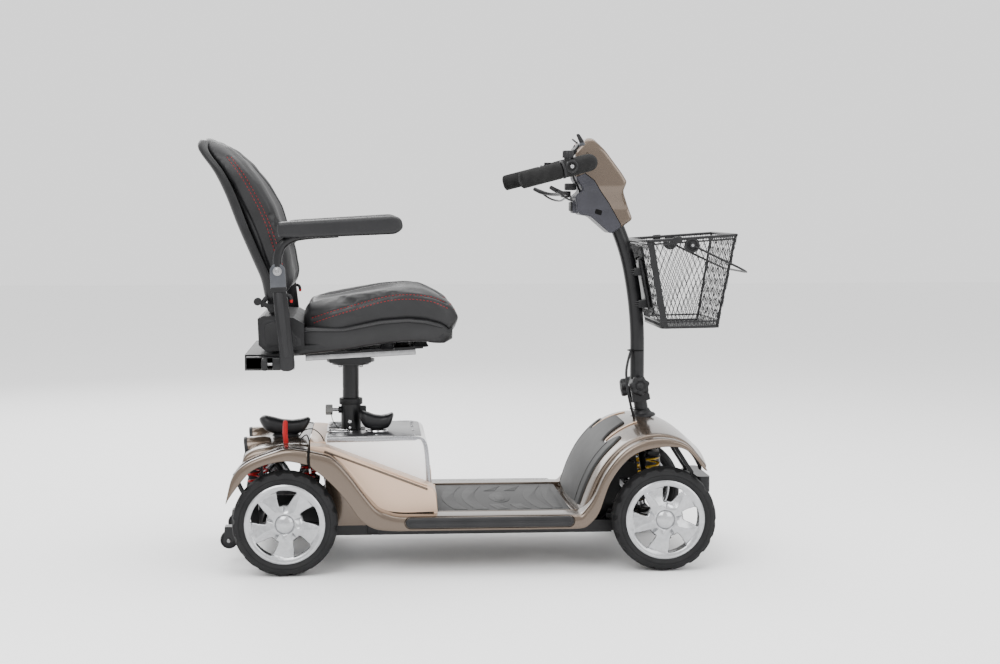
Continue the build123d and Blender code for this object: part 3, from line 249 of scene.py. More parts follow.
def shade(obj, angle):
    data = obj.data
    for polygon in data.polygons:
        polygon.use_smooth = True
    work = bmesh.new()
    work.from_mesh(data)
    limit = radians(angle)
    for edge in work.edges:
        edge.smooth = len(edge.link_faces) != 2 or edge.calc_face_angle(0) < limit
    work.to_mesh(data)
    work.free()


def skin(rings, closed_ring=True, closed_path=False, caps=True):
    """Points and faces of a surface through rings with the same number of points."""
    points = [p for ring in rings for p in ring]
    n = len(rings[0])
    faces = []
    count = len(rings)
    for i in range(count if closed_path else count - 1):
        a, b = i * n, ((i + 1) % count) * n
        for j in range(n if closed_ring else n - 1):
            k = (j + 1) % n
            faces.append((a + j, a + k, b + k, b + j))
    if caps and closed_ring and not closed_path:
        faces.append(tuple(range(n))[::-1])
        faces.append(tuple(range((count - 1) * n, count * n)))
    return points, faces


def curve(points, count):
    """Evenly spaced points on a smooth line through the given ones."""
    pts = [np.array(p, float) for p in points]
    pts = [2 * pts[0] - pts[1]] + pts + [2 * pts[-1] - pts[-2]]
    out = []
    steps = 14
    for i in range(1, len(pts) - 2):
        p0, p1, p2, p3 = pts[i - 1:i + 3]
        t0 = 0.0
        t1 = t0 + max(np.linalg.norm(p1 - p0), 1e-9) ** 0.5
        t2 = t1 + max(np.linalg.norm(p2 - p1), 1e-9) ** 0.5
        t3 = t2 + max(np.linalg.norm(p3 - p2), 1e-9) ** 0.5
        for s in range(steps):
            t = t1 + (t2 - t1) * s / steps
            a1 = (t1 - t) / (t1 - t0) * p0 + (t - t0) / (t1 - t0) * p1
            a2 = (t2 - t) / (t2 - t1) * p1 + (t - t1) / (t2 - t1) * p2
            a3 = (t3 - t) / (t3 - t2) * p2 + (t - t2) / (t3 - t2) * p3
            b1 = (t2 - t) / (t2 - t0) * a1 + (t - t0) / (t2 - t0) * a2
            b2 = (t3 - t) / (t3 - t1) * a2 + (t - t1) / (t3 - t1) * a3
            out.append((t2 - t) / (t2 - t1) * b1 + (t - t1) / (t2 - t1) * b2)
    out.append(pts[-2])
    return even(out, count)


def even(points, count):
    """Points at even steps along a line of straight runs."""
    pts = np.array(points, float)
    gaps = np.linalg.norm(np.diff(pts, axis=0), axis=1)
    along = np.concatenate([[0], np.cumsum(gaps)])
    spots = np.linspace(0, along[-1], count)
    return np.stack([np.interp(spots, along, pts[:, k]) for k in range(pts.shape[1])], axis=1)


def ring_frames(path, closed=False):
    """Two directions square to the path at each of its points, without twist."""
    path = np.array(path, float)
    n = len(path)
    ahead = np.roll(path, -1, 0) - np.roll(path, 1, 0)
    if not closed:
        ahead[0] = path[1] - path[0]
        ahead[-1] = path[-1] - path[-2]
    ahead /= np.linalg.norm(ahead, axis=1)[:, None]
    start = np.array([0, 0, 1.0]) if abs(ahead[0][2]) < 0.9 else np.array([1.0, 0, 0])
    u = np.cross(ahead[0], start)
    u /= np.linalg.norm(u)
    us = []
    for i in range(n):
        u = u - ahead[i] * np.dot(u, ahead[i])
        u /= np.linalg.norm(u)
        us.append(u)
    us = np.array(us)
    return us, np.cross(ahead, us)


def pipe_rings(path, radius, sides=12, closed=False):
    us, vs = ring_frames(path, closed)
    radii = np.full(len(path), radius) if np.isscalar(radius) else np.array(radius)
    rings = []
    for p, u, v, r in zip(np.array(path, float), us, vs, radii):
        ring = []
        for k in range(sides):
            a = 2 * pi * k / sides
            q = p + r * (cos(a) * u + sin(a) * v)
            ring.append(at(*q))
        rings.append(ring)
    return rings


def pipe(name, path, radius, finish, body, sides=12, closed=False, replaces=()):
    """A round bar or wire along a path in millimetres."""
    rings = pipe_rings(path, radius, sides, closed)
    return make(name, *skin(rings, closed_path=closed), finish, body, 50, replaces=replaces)


def many_pipes(name, paths, radius, finish, body, sides=6, replaces=()):
    """Several wires as one piece."""
    points, faces = [], []
    for path in paths:
        p, f = skin(pipe_rings(path, radius, sides))
        faces += [tuple(i + len(points) for i in face) for face in f]
        points += p
    return make(name, points, faces, finish, body, 50, replaces=replaces)


def axis_frame(axis):
    """The unit axis and two directions square to it."""
    axis = Vector(axis).normalized()
    u = axis.orthogonal().normalized()
    return axis, u, axis.cross(u)


def lathe(name, profile, centre, axis, finish, body, sides=64, replaces=(), smooth=35, loop=False):
    """A turned piece: profile is (radius, along) in millimetres about an axis through centre."""
    axis, u, v = axis_frame(axis)
    origin = at(*centre)
    rings = []
    for r, h in profile:
        ring = []
        for k in range(sides):
            a = 2 * pi * k / sides
            ring.append(origin + (axis * h + (u * cos(a) + v * sin(a)) * max(r, 0.02)) / 1000)
        rings.append(ring)
    return make(name, *skin(rings, closed_path=loop), finish, body, smooth, replaces=replaces)


def slab(name, outline, y0, y1, finish, body, bevel=1.0, replaces=()):
    """A side-view outline (x, z) as thick as y0 to y1, with softened edges."""
    rings = [[at(x, y, z) for x, z in outline] for y in (y0, y1)]
    return make(name, *skin(rings), finish, body, 35, bevel=bevel, replaces=replaces)


def rectangle(x0, x1, z0, z1):
    return [(x0, z0), (x1, z0), (x1, z1), (x0, z1)]


def block(name, x0, x1, y0, y1, z0, z1, finish, body, bevel=1.0):
    return slab(name, rectangle(x0, x1, z0, z1), y0, y1, finish, body, bevel)


def outward(shape):
    """Directions square to a closed outline, pointing out of it."""
    ahead = np.roll(shape, -1, 0) - np.roll(shape, 1, 0)
    ahead /= np.linalg.norm(ahead, axis=1)[:, None]
    square = np.stack([ahead[:, 1], -ahead[:, 0]], axis=1)
    inward = np.mean(np.sum(square * (shape - shape.mean(0)), axis=1)) < 0
    return -square if inward else square


def round_box(outline, y0, y1, radius):
    """Rings of a slab whose rims are rounded by shrinking the outline near both faces."""
    rings = []
    shape = np.array(outline, float)
    square = outward(shape)
    sign = 1 if y1 > y0 else -1
    steps = [(0.0, 1.0), (0.08, 0.62), (0.35, 0.22), (1.0, 0.0)]
    for depth, inset in steps:
        rings.append((shape - square * inset * radius, y0 + sign * depth * radius))
    for depth, inset in reversed(steps):
        rings.append((shape - square * inset * radius, y1 - sign * depth * radius))
    return [[at(x, y, z) for x, z in ring] for ring, y in rings]


def cushiony(name, outline, y0, y1, radius, finish, body, replaces=()):
    """A slab with well rounded rims."""
    return make(name, *skin(round_box(outline, y0, y1, radius)), finish, body, 60,
        replaces=replaces, level=1)


def screw(name, centre, axis, radius, finish, body, height=3.0):
    """A small domed screw head with a socket in it."""
    profile = [(0.0, 0.0), (radius, 0.0), (radius, height * 0.45), (radius * 0.86, height * 0.8),
        (radius * 0.52, height), (radius * 0.42, height), (radius * 0.40, height * 0.5),
        (0.0, height * 0.45)]
    return lathe(name, profile, centre, axis, finish, body, 24)


# ------------------------------------------------------------ wheels
TYRE_R = 115.0
TYRE_Y = 232.0
WINDOWS = 5
PITCH = 2 * pi / WINDOWS


def tyre(name, x, y, body):
    """A solid tyre with side rings and two rows of shoulder blocks."""
    around = 180
    profile = [(88.2, -27), (90.5, -29.5), (93, -30.4), (95, -32.0), (97.5, -32.4), (99.0, -31.2),
        (101, -32.2), (104, -32), (107, -30.6), (109.5, -28.8), (112.3, -26.2), (113.6, -21),
        (114.4, -14), (114.9, -7.6), (115, -2.6), (113.2, -2.0), (113.2, 2.0), (115, 2.6),
        (114.9, 7.6), (114.4, 14), (113.6, 21), (112.3, 26.2), (109.5, 28.8), (107, 30.6),
        (104, 32), (101, 32.2), (99, 31.2), (97.5, 32.4), (95, 32.0), (93, 30.4), (90.5, 29.5),
        (88.2, 27)]
    rings = []
    for i in range(around):
        a = 2 * pi * i / around
        ring = []
        for r, w in profile:
            side = 1 if w > 0 else 0
            phase = (i + 5 * side + int(abs(w) / 7)) % 10
            if 12 < abs(w) < 29 and r > 109 and phase < 3:
                r -= 3.4
            if 104 < r < 109.6 and (i + 5 * side) % 10 < 3:
                w *= 0.955
            ring.append(at(x + r * cos(a), y + w, TYRE_R + r * sin(a)))
        rings.append(ring)
    return make(name + "_tyre_look", *skin(rings, closed_path=True), "tyre", body, 28,
        replaces=(name + "_tyre",))


def swirl(angle, radius):
    """Whether a place on the wheel's face lies in one of its five windows."""
    t = (radius - 39.0) / 35.5
    if not 0 < t < 1:
        return 0.0
    turned = (angle / PITCH + 0.10 * t) % 1.0
    left = 0.245 - 0.055 * t
    right = 0.645 + 0.035 * t
    mid, half = (left + right) / 2, (right - left) / 2
    across = max(0.0, 1 - abs(turned - mid) / half)
    along = min(t / 0.26, (1 - t) / 0.10, 1.0)
    if t < 0.3:
        across *= max(0.0, 1 - (abs(turned - mid) / half) ** 2 * (1 - t / 0.3) * 1.6)
    return min(across * 4.0, along)


def wheel(name, x, y, sign, body, node, start):
    """A moulded wheel with five swept windows, a rolled edge and a domed cap."""
    around = 240
    radii = np.concatenate([np.linspace(21.5, 34, 5), np.linspace(35, 71, 27),
        np.linspace(72.5, 86.5, 9)])
    face_y = 27.0
    points, faces, index = [], [], {}
    for j, r in enumerate(radii):
        for i in range(around):
            a = 2 * pi * i / around + start
            depth = face_y - 3 + 3.5 * exp(-((r - 30) / 16) ** 2)
            turned = ((a - start) / PITCH + 0.10 * (r - 39) / 35.5) % 1.0
            if r < 74:
                blade = (turned + 0.55) % 1.0 - 0.5
                crest = -0.12 + 0.30 * (r - 24) / 50
                rise = 1 - abs(blade - crest) / (0.36 if blade > crest else 0.62)
                fade = min(1, max(0, (r - 23) / 10)) * min(1, (75 - r) / 3)
                depth += fade * (8.0 * rise - 5.6)
            if r > 71:
                t = (r - 71) / 15.5
                depth = face_y - 3.2 + 4.6 * sin(min(1, t) * pi * 0.62)
            inside = swirl(a - start, r)
            if inside > 0:
                depth -= min(1, inside * 1.6) * 9
            index[j, i] = len(points) if inside < 0.42 else None
            points.append(at(x + r * cos(a) * -sign, y + sign * depth, TYRE_R + r * sin(a)))
    for j in range(len(radii) - 1):
        for i in range(around):
            quad = [index[j, i], index[j, (i + 1) % around], index[j + 1, (i + 1) % around],
                index[j + 1, i]]
            if None not in quad:
                faces.append(quad)
    shell = make(name + "_wheel_face", points, faces, "wheel", body, 50, thick=2.6, out=-1.0,
        level=1)
    fix = bmesh.new()
    fix.from_mesh(shell.data)
    loose = [v for v in fix.verts if not v.link_faces]
    bmesh.ops.delete(fix, geom=loose, context="VERTS")
    bmesh.ops.recalc_face_normals(fix, faces=fix.faces)
    fix.to_mesh(shell.data)
    fix.free()
    shade(shell, 40)
    side = (0, sign, 0)
    lathe(name + "_rim_barrel", [(80, 26.0), (84.5, 28.6), (87.6, 27.2), (88.1, 24), (88.1, -26),
        (84, -26.8), (80, -25), (78.5, -8), (78.5, 12), (79, 24)], (x, y, TYRE_R), side, "wheel",
        body, 120, replaces=(node,), loop=True)
    lathe(name + "_hub_cap", [(0, 30.6), (5, 30.4), (11, 29.3), (16, 27.4), (19.5, 25.0),
        (20.8, 23.6), (21.2, 25.2), (22.6, 26.0), (24.2, 25.6), (24.8, 22), (0, 21)][::-1],
        (x, y, TYRE_R), side, "wheel", body, 72, smooth=50)
    lathe(name + "_hub", [(9, -27), (17, -26), (19, -12), (19, 18), (24, 20), (30, 19), (31, 14),
        (27, 8), (23, -4), (22, -12), (9, -20)][::-1], (x, y, TYRE_R), side, "black_coat", body, 60)
    for k in range(WINDOWS):
        a = 2 * pi * (k - 0.08) / WINDOWS + start
        mid = [(x - sign * r * cos(a), y + sign * w, TYRE_R + r * sin(a))
            for r, w in ((22, 6), (50, 4), (79, 2))]
        pipe(f"{name}_spoke_{k}", curve(mid, 8), 7.0, "black_coat", body, 12)


for rear, left in ((True, True), (True, False), (False, True), (False, False)):
    label = ("rear_" if rear else "front_") + ("left" if left else "right")
    wheel_x = 0.0 if rear else (X1 - X0) * 1000
    sign = 1 if left else -1
    tyre(label, wheel_x, sign * TYRE_Y, label + "_wheel")
    wheel(label, wheel_x, sign * TYRE_Y, sign, label + "_wheel", label + "_rim",
        radians(62 if rear else 52))
    if rear:
        pipe(label + "_half_axle", [(0, sign * y, TYRE_R) for y in (60, 150, 248)], 8.5, "steel",
            label + "_wheel", 24)

# ------------------------------------------------------------ small shared finishes on CAD nodes
FINISH = {
    "black_coat": """rear_frame seat_post_socket drive_carrier front_frame front_axle_beam
        left_knuckle right_knuckle steering_column tiller_tube handlebar basket_bracket seat_post
        left_arm_support right_arm_support seat_rails throttle_paddle basket basket_handle""",
    "black_plastic": """seat_frame tiller_knobs speed_dial side_rubber_strips seat_shell
        backrest_shell recline_lever left_arm_knob right_arm_knob tiller_cable post_pin
        left_anti_tip_wheel right_anti_tip_wheel""",
    "soft_plastic": "saddle_handles left_armrest right_armrest",
    "paint": "head_front_cover rear_body_cover tail_light_housings main_body",
    "red": "rear_springs freewheel_lever horn_button",
    "leather": "backrest_cushion seat_cushion", "steel": "track_rod ignition_key",
    "cast": "transaxle", "yellow": "front_springs", "grey_plastic": "head_rear_cover",
    "foam": "handlebar_grips", "lens": "tail_light_lenses", "mat": "floor_mats",
    "white": "battery_box",
}
for finish, names in FINISH.items():
    for node in names.split():
        obj = NODES[node]
        obj.data.materials.clear()
        obj.data.materials.append(MAT[finish])
        shade(obj, 30)

# ------------------------------------------------------------ bodywork
BODY_W = 262.0
SEAM_X = 52.0
FENDER_TOP = [(-128, 161), (-112, 222), (-87, 248), (-30, 272), (4, 281), (SEAM_X, 276)]
FENDER_LIP = [(-123, 168), (-99, 201), (-72, 231), (-39, 246), (5, 253), (SEAM_X, 244)]
SWEEP_TOP = [(SEAM_X, 276), (104, 261), (140, 225), (176, 177), (205, 144), (241, 131)]
SWEEP_LIP = [(SEAM_X, 244), (97, 207), (133, 167), (168, 119), (197, 102), (241, 97)]
SHROUD_MID = [(640, 126), (657, 190), (694, 253), (752, 301), (815, 318), (880, 302), (945, 249)]
SHROUD_EDGE = [(656, 126), (674, 162), (706, 226), (757, 279), (823, 297), (885, 281), (930, 223)]
SHROUD_LIP = [(667, 103), (684, 124), (717, 206), (764, 259), (828, 276), (880, 270), (922, 224)]


def ribbon(top, lip, inner, s):
    """Sections of an outer band: flat on top, rolled over its outer edge and down to its lip."""
    rings = []
    for (tx, tz), (lx, lz), y_in in zip(top, lip, inner):
        down = np.array([lx - tx, lz - tz], float)
        length = max(np.linalg.norm(down), 4.0)
        unit = down / max(np.linalg.norm(down), 1e-6)
        roll = min(11.0, length * 0.4)
        section = [(y_in, 0.0), (y_in + 2, 0.3), (BODY_W - roll * 1.5, 0.2),
            (BODY_W - roll * 0.55, roll * 0.12), (BODY_W - roll * 0.16, roll * 0.46),
            (BODY_W - 0.3, roll), (BODY_W, roll * 1.4), (BODY_W, length - 4),
            (BODY_W - 0.6, length - 1.4), (BODY_W - 2.5, length)]
        rings.append([at(tx + unit[0] * d, s * y, tz + unit[1] * d) for y, d in section])
    return rings


def sheet_from(name, rings, finish, body, s=1, thick=2.6, replaces=(), level=1):
    """An open sheet through rings, given a wall."""
    points, faces = skin(rings, closed_ring=False, caps=False)
    if s < 0:
        faces = [f[::-1] for f in faces]
    return make(name, points, faces, finish, body, 45, thick=thick, replaces=replaces, level=level)


for s, label in SIDES:
    top = curve(FENDER_TOP[:-1] + [(SEAM_X - 1.2, 276.2)], 26)
    lip = curve(FENDER_LIP[:-1] + [(SEAM_X - 1.2, 244.4)], 26)
    sheet_from(f"rear_fender_{label}", ribbon(top, lip, [187] * 26, s), "paint", "chassis", -s)
    top = np.concatenate([curve(SWEEP_TOP, 24), even([(260, 130), (640, 130)], 16),
        curve([(648, 128.5)] + SHROUD_EDGE[1:], 34)])
    lip = np.concatenate([curve(SWEEP_LIP, 24), even([(260, 97), (640, 97)], 16),
        curve([(658, 98.5)] + SHROUD_LIP[1:], 34)])
    inner = [214] * 24 + [198] * 16 + list(np.linspace(200, 226, 6)) + [226] * 28
    sheet_from(f"side_sweep_{label}", ribbon(top, lip, inner, s), "paint", "chassis", -s)
    # inset side panel with its rolled ledge beside the battery
    high = even([(SEAM_X, 281), (84, 279.5), (160, 250), (238, 220), (316, 190), (328, 184),
        (333, 172), (334.5, 131)], 40)
    low = even([(SEAM_X, 275), (104, 259), (140, 223), (176, 175), (205, 142), (241, 129.5),
        (300, 129), (334.5, 129)], 40)
    rings = []
    for (hx, hz), (lx, lz) in zip(high, low):
        section = [(148, 0.0), (160, 0.0), (206, 0.0), (211, 0.02), (215.5, 0.05), (216.8, 0.10),
            (216.9, 0.30), (217, 0.70), (217, 0.96), (219, 1.0)]
        drop = np.array([lx - hx, lz - hz])
        size = max(np.linalg.norm(drop), 1e-3)
        ring = []
        for y, t in section:
            d = min(t * size, t * 120) if t < 0.2 else t * size
            ring.append(at(hx + drop[0] / size * d, s * y, hz + drop[1] / size * d))
        rings.append(ring)
    sheet_from(f"side_panel_{label}", rings, "paint_pale", "chassis", -s)
    rail = curve([(86, 217, 277), (160, 217, 248.5), (238, 217, 218.5), (312, 217, 190)], 30)
    path = [(x, s * (y - 1.2), z - 7.5) for x, y, z in rail]
    pipe(f"side_panel_bead_{label}", path, 2.6, "paint", "chassis", 10)
    path = [(x, s * (y - 3.4), z + 0.6) for x, y, z in rail]
    pipe(f"side_panel_edge_{label}", path, 2.2, "paint_pale", "chassis", 10)
    # dark line along the panel's lower seam: painted shade in the groove
    path = [(x, s * 218.2, z) for x, z in curve([(60, 271), (104, 256), (140, 221), (176, 173.5),
        (205, 141.8), (241, 131.8), (326, 131.6)], 50)]
    pipe(f"side_panel_groove_shade_{label}", path, 1.3, "dark", "chassis", 8)
    # dark line along the fender top: painted shade standing for its moulded groove
    path = [(x, s * (BODY_W - 22), z + 0.4) for x, z in curve(FENDER_TOP[1:-1] + [(SEAM_X - 3,
        276.3)], 30)]
    pipe(f"fender_shade_line_{label}", path, 0.9, "dark", "chassis", 6)
    # dark line along the joint of rear cover and side bands: painted shade in the seam gap
    seam = [(SEAM_X, s * y, z) for y, z in ((188, 277), (225, 277), (250, 275.4), (259, 271.5),
        (262, 264), (262.2, 255), (262.2, 246))]
    pipe(f"cover_seam_shade_{label}", curve(seam, 24), 0.9, "dark", "chassis", 8)

# rear cover between the fenders, crowned and rounded at its edges
rings = []
for x, z in curve([(-94, 240), (-91, 258), (-76, 270), (-40, 277.5), (0, 281.5),
        (SEAM_X - 1.2, 282)], 20):
    k = min(1.0, (z - 234) / 34)
    section = [(-188.5, z - 24 * k), (-187.5, z - 12 * k), (-182, z - 4 * k), (-166, z - k),
        (-100, z), (0, z + 1), (100, z), (166, z - k), (182, z - 4 * k), (187.5, z - 12 * k),
        (188.5, z - 24 * k)]
    rings.append([at(x, y, h) for y, h in section])
sheet_from("rear_cover_centre", rings, "paint", "chassis", -1, replaces=("rear_body_cover",))

# front shroud: a crowned sheet whose edge meets the outer bands
rings = []
middle_line = curve(SHROUD_MID, 44)
edge_line = curve(SHROUD_EDGE, 44)
for (mx, mz), (ex, ez) in zip(middle_line, edge_line):
    ring = []
    for y in (-228.5, -227.5, -215, -190, -150, -100, -50, 0, 50, 100, 150, 190, 215, 227.5, 228.5):
        share = (y / BODY_W) ** 2 if abs(y) < 228 else 1.0
        low = 0.8 if abs(y) < 228 else 3.4
        ring.append(at(mx + (ex - mx) * share, y, mz + (ez - mz) * share - low))
    rings.append(ring)
sheet_from("front_shroud", rings, "paint", "chassis", -1, replaces=("main_body",))

# bridge between the rear cover and the battery, and the joint plate of the two frames
block("cover_bridge", SEAM_X - 0.5, 88, -149, 149, 276.5, 281.3, "paint_pale", "chassis", 1.5)
# dark wall in the gap under the bridge, at the battery's rear face: painted shade
block("cover_bridge_shade_wall", 82, 85, -149, 149, 226, 278, "dark", "chassis", 0.5)
for s, label in SIDES:
    block(f"frame_joint_{label}", 178, 204, s * 96.5, s * 99.5, 61, 87, "black_coat", "chassis",
        1.2)
for s, label in SIDES:
    block(f"inner_liner_{label}", 87, 176, s * 150.2, s * 152.6, 92, 214, "paint", "chassis", 0.8)

# deck pan under the mat, and the inner wall beside the battery
block("deck_pan", 236, 650, -198, 198, 118, 121.5, "paint", "chassis", 1.0)
for s, label in SIDES:
    block(f"deck_edge_{label}", 334, 648, s * 196.8, s * 200, 119, 130.5, "paint", "chassis", 1.0)
    slab(f"battery_side_wall_{label}", [(86, 276), (314, 190), (331, 182), (334, 128), (236, 128),
        (110, 180)], s * 147, s * 149.5, "paint_pale", "chassis", 0.6)

# ------------------------------------------------------------ mats and rubber strips
def rounded(points, radius, steps=5):
    """A closed outline whose corners are rounded."""
    out = []
    n = len(points)
    for i in range(n):
        a, b, c = (np.array(points[j % n], float) for j in (i - 1, i, i + 1))
        ba, bc = a - b, c - b
        r = min(radius, 0.45 * np.linalg.norm(ba), 0.45 * np.linalg.norm(bc))
        p, q = b + ba / np.linalg.norm(ba) * r, b + bc / np.linalg.norm(bc) * r
        for k in range(steps + 1):
            t = k / steps
            out.append(tuple((1 - t) ** 2 * p + 2 * t * (1 - t) * b + t * t * q))
    return out


def pad_on_plan(name, outline, z0, z1, radius, finish, body, replaces=()):
    """A flat piece seen from above (x, y) with a rounded upper rim."""
    shape = np.array(outline, float)
    square = outward(shape)
    rings = []
    for inset, z in ((0, z0), (0, z1 - radius), (radius * 0.3, z1 - radius * 0.3), (radius, z1)):
        rings.append([at(x, y, z) for x, y in shape - square * inset])
    return make(name, *skin(rings), finish, body, 40, replaces=replaces)


mat_outline = rounded([(338, -196), (634, -196), (634, 196), (338, 196)], 16)
pad_on_plan("deck_mat", mat_outline, 121.6, 126.4, 1.2, "mat", "chassis", ("floor_mats",))


def bow(y):
    return 26.0 * (y / 170.0) ** 2


OVAL_X = 487
bands = [(352, -164, 164), (400, -164, 164), (448, -164, -92), (448, 92, 164), (448, -40, 40),
    (496, -164, -92), (496, 92, 164), (544, -164, 164), (590, -158, 158)]
for number, (x, y0, y1) in enumerate(bands):
    ys = np.linspace(y0, y1, 26)
    wide = 29 if abs(y1 - y0) > 90 else 27
    front = [(x + wide + bow(y) - (26 if x > 560 else 0) * (y / 170) ** 2, y) for y in ys]
    rear = [(x + bow(y) - (14 if x > 560 else 0) * (y / 170) ** 2, y) for y in ys[::-1]]
    if y0 == -40:
        pad_on_plan("deck_mat_oval", circle(OVAL_X, 0, 24, 70, 48), 126.0, 127.4, 0.8, "mat_dark",
            "chassis")
        pad_on_plan("deck_mat_oval_middle", circle(OVAL_X, 0, 13, 50, 48), 127.2, 128.2, 0.8, "mat",
            "chassis")
        continue
    pad_on_plan(f"deck_mat_band_{number}", rounded(front + rear, 5, 3), 126.0, 127.4, 0.9,
        "mat_dark", "chassis")


def shroud_point(u, y, out=0.0):
    """A place on the front shroud: u runs along its section, and out stands off it."""
    share = (y / BODY_W) ** 2
    line = middle_line + (edge_line - middle_line) * share
    spot = u * (len(line) - 1)
    i = int(min(max(spot, 0), len(line) - 2))
    t = spot - i
    p = line[i] * (1 - t) + line[i + 1] * t
    d = line[i + 1] - line[i]
    d = d / np.linalg.norm(d)
    return at(p[0] - d[1] * out, y, p[1] + d[0] * out)


def top_end(y):
    """How far up the shroud the mat reaches at y: high in the middle, low at the two tongues."""
    y = abs(y)
    if y < 62:
        return 0.545
    if y < 104:
        t = (y - 62) / 42
        return 0.545 - 0.155 * (1 - cos(pi * t)) / 2
    if y < 128:
        return 0.39
    if y < 168:
        t = (y - 128) / 40
        return 0.39 + 0.085 * (1 - cos(pi * t)) / 2
    t = (y - 168) / 14
    return 0.475 - 0.06 * min(t, 1) ** 2


ys = np.concatenate([[-183.5, -183, -181.5, -179], np.linspace(-176, 176, 60),
    [179, 181.5, 183, 183.5]])
lift = [0.0, 1.6, 3.0, 3.6] + [3.8] * 60 + [3.6, 3.0, 1.6, 0.0]
rings = []
for y, h in zip(ys, lift):
    end = top_end(y)
    us = np.concatenate([np.linspace(0.032, end - 0.012, 34), [end - 0.005, end - 0.001, end]])
    hs = [h] * 34 + [h * 0.8, h * 0.4, 0.0]
    rings.append([shroud_point(u, y, g) for u, g in zip(us, hs)])
sheet_from("leg_shield_mat", rings, "mat_dark", "chassis", 1, thick=0.0, level=0)
for s, label in SIDES:
    groove = [shroud_point(u, s * 148.0, 3.9) for u in np.linspace(0.04, 0.40, 30)]
    pipe(f"leg_mat_rib_{label}", millimetres(groove), 1.1, "mat", "chassis", 8)
    # pale line up each tongue of the shroud: a painted highlight where light falls on it
    path = [shroud_point(u, s * y, 0.4) for u, y in zip(np.linspace(0.40, 0.60, 24),
        116 - 20 * np.linspace(0, 1, 24) ** 2)]
    pipe(f"tongue_painted_highlight_{label}", millimetres(path), 1.6, "paint_pale", "chassis", 10)
    # rubbing strip with its groove, ringed by a dark line of painted shade at its foot
    ends = []
    for k in range(13):
        a = pi / 2 + pi * k / 12
        ends.append((274 + 11.4 * cos(a), 116 + 11.4 * sin(a)))
    for k in range(13):
        a = -pi / 2 + pi * k / 12
        ends.append((621 + 11.4 * cos(a), 116 + 11.4 * sin(a)))
    rings = []
    shape = np.array(ends)
    centre = np.array([np.clip(shape[:, 0], 274, 621), np.full(len(shape), 116.0)]).T
    for grow, y in ((1.0, 261.6), (1.0, 264.5), (0.93, 267.2), (0.78, 268.6), (0.55, 269.0),
            (0.34, 268.9), (0.24, 267.6), (0.14, 267.4), (0.02, 267.4)):
        rings.append([at(x, s * y, z) for x, z in centre + (shape - centre) * grow])
    make(f"side_strip_{label}", *skin(rings), "soft_plastic", "chassis", 40,
        replaces=once(s, "side_rubber_strips"))
    line = [(x, s * 262.3, z) for x, z in shape + (shape - centre) * 0.16]
    pipe(f"side_strip_shade_line_{label}", line + line[:1], 0.8, "dark", "chassis", 6)

# ------------------------------------------------------------ battery box
BATTERY_SIDE = [(84, 132), (84, 289), (298, 291), (312, 284), (318, 250), (322, 180), (323, 132)]


def cut(obj, tool, mode="DIFFERENCE"):
    """Cuts obj with tool, which is then removed."""
    step = obj.modifiers.new("cut", "BOOLEAN")
    step.object = tool
    step.operation = mode
    step.solver = "EXACT"
    keep = list(obj.data.materials)
    apply(obj)
    if not obj.data.materials:
        for material in keep:
            obj.data.materials.append(material)
    bpy.data.objects.remove(tool)
    shade(obj, 35)


def raw(name, rings):
    """A bare closed mesh whose faces look outward."""
    mesh = bpy.data.meshes.new(name)
    points, faces = skin(rings)
    mesh.from_pydata([tuple(p) for p in points], [], faces)
    obj = bpy.data.objects.new(name, mesh)
    bpy.context.scene.collection.objects.link(obj)
    work = bmesh.new()
    work.from_mesh(mesh)
    bmesh.ops.recalc_face_normals(work, faces=work.faces)
    work.to_mesh(mesh)
    work.free()
    return obj


def prism(outline, y0, y1):
    """A cutting tool with a side-view outline."""
    return raw("tool", [[at(x, y, z) for x, z in outline] for y in (y0, y1)])


def even_skin(obj, voxel, rounds):
    """Remeshes a raw piece in equal voxels, then smooths it."""
    step = obj.modifiers.new("voxels", "REMESH")
    step.mode = "VOXEL"
    step.voxel_size = voxel
    apply(obj)
    step = obj.modifiers.new("even", "SMOOTH")
    step.iterations = rounds
    apply(obj)


# battery case in near-white: painted glare standing for the light on its silver sides
case_outline = rounded(BATTERY_SIDE, 14, 6)
case = make("battery_case", *skin(round_box(case_outline, -145, 145, 7)), "white", "chassis", 40,
    replaces=("battery_box",))
cut(case, prism(rectangle(60, 175, 120, 320), -32, 32))
run = curve([(90, 288.6), (200, 290), (292, 290.6), (306, 286), (313.4, 275), (318, 248),
    (321.4, 190), (322.6, 134)], 60)
inner_run = [(x - 9.5 * t, z - 9.5 * (1 - t)) for (x, z),
    t in zip(run, np.clip((run[:, 0] - 286) / 26, 0, 1))]
for s, label in SIDES:
    outline = [tuple(p) for p in run] + [tuple(p) for p in inner_run[::-1]]
    slab(f"battery_band_{label}", outline, s * 143.5, s * 146.4, "silver", "chassis", 1.1)
top = rounded([(90, -136), (290, -136), (302, -126), (302, 126), (290, 136), (90, 136)], 10)
lid = pad_on_plan("battery_lid", top, 287.0, 291.4, 1.4, "dark_silver", "chassis")
cut(lid, prism(rectangle(60, 176, 120, 320), -33, 33))
for s, label in SIDES:
    loop = rounded([(92, s * 52), (136, s * 52), (136, s * 84), (92, s * 84)], 12, 5)
    path = [(x, y, 295.4) for x, y in loop]
    pipe(f"battery_loop_{label}", path, 2.7, "chrome", "chassis", 10, closed=True)
    for k, (x, y) in enumerate(((100, 120), (200, 120), (286, 120), (286, 40))):
        screw(f"battery_screw_{label}_{k}", (x, s * y, 290.9), (0, 0, 1), 4.2, "chrome", "chassis",
            2.2)
lathe("handle_ring", [(0, 0), (25, 0), (26, 1.5), (25, 4), (21, 5.2), (18, 5.0), (17, 3), (0, 2.6)],
    (202, -40, 290.2), (0, 0, 1), "chrome", "chassis", 48)
lathe("handle_foot", [(0, 0), (30, 0), (31, 2), (29, 5), (21, 7), (16, 12), (0, 13)],
    (-6, -40, 281.2), (0, 0, 1), "black_plastic", "chassis", 48)


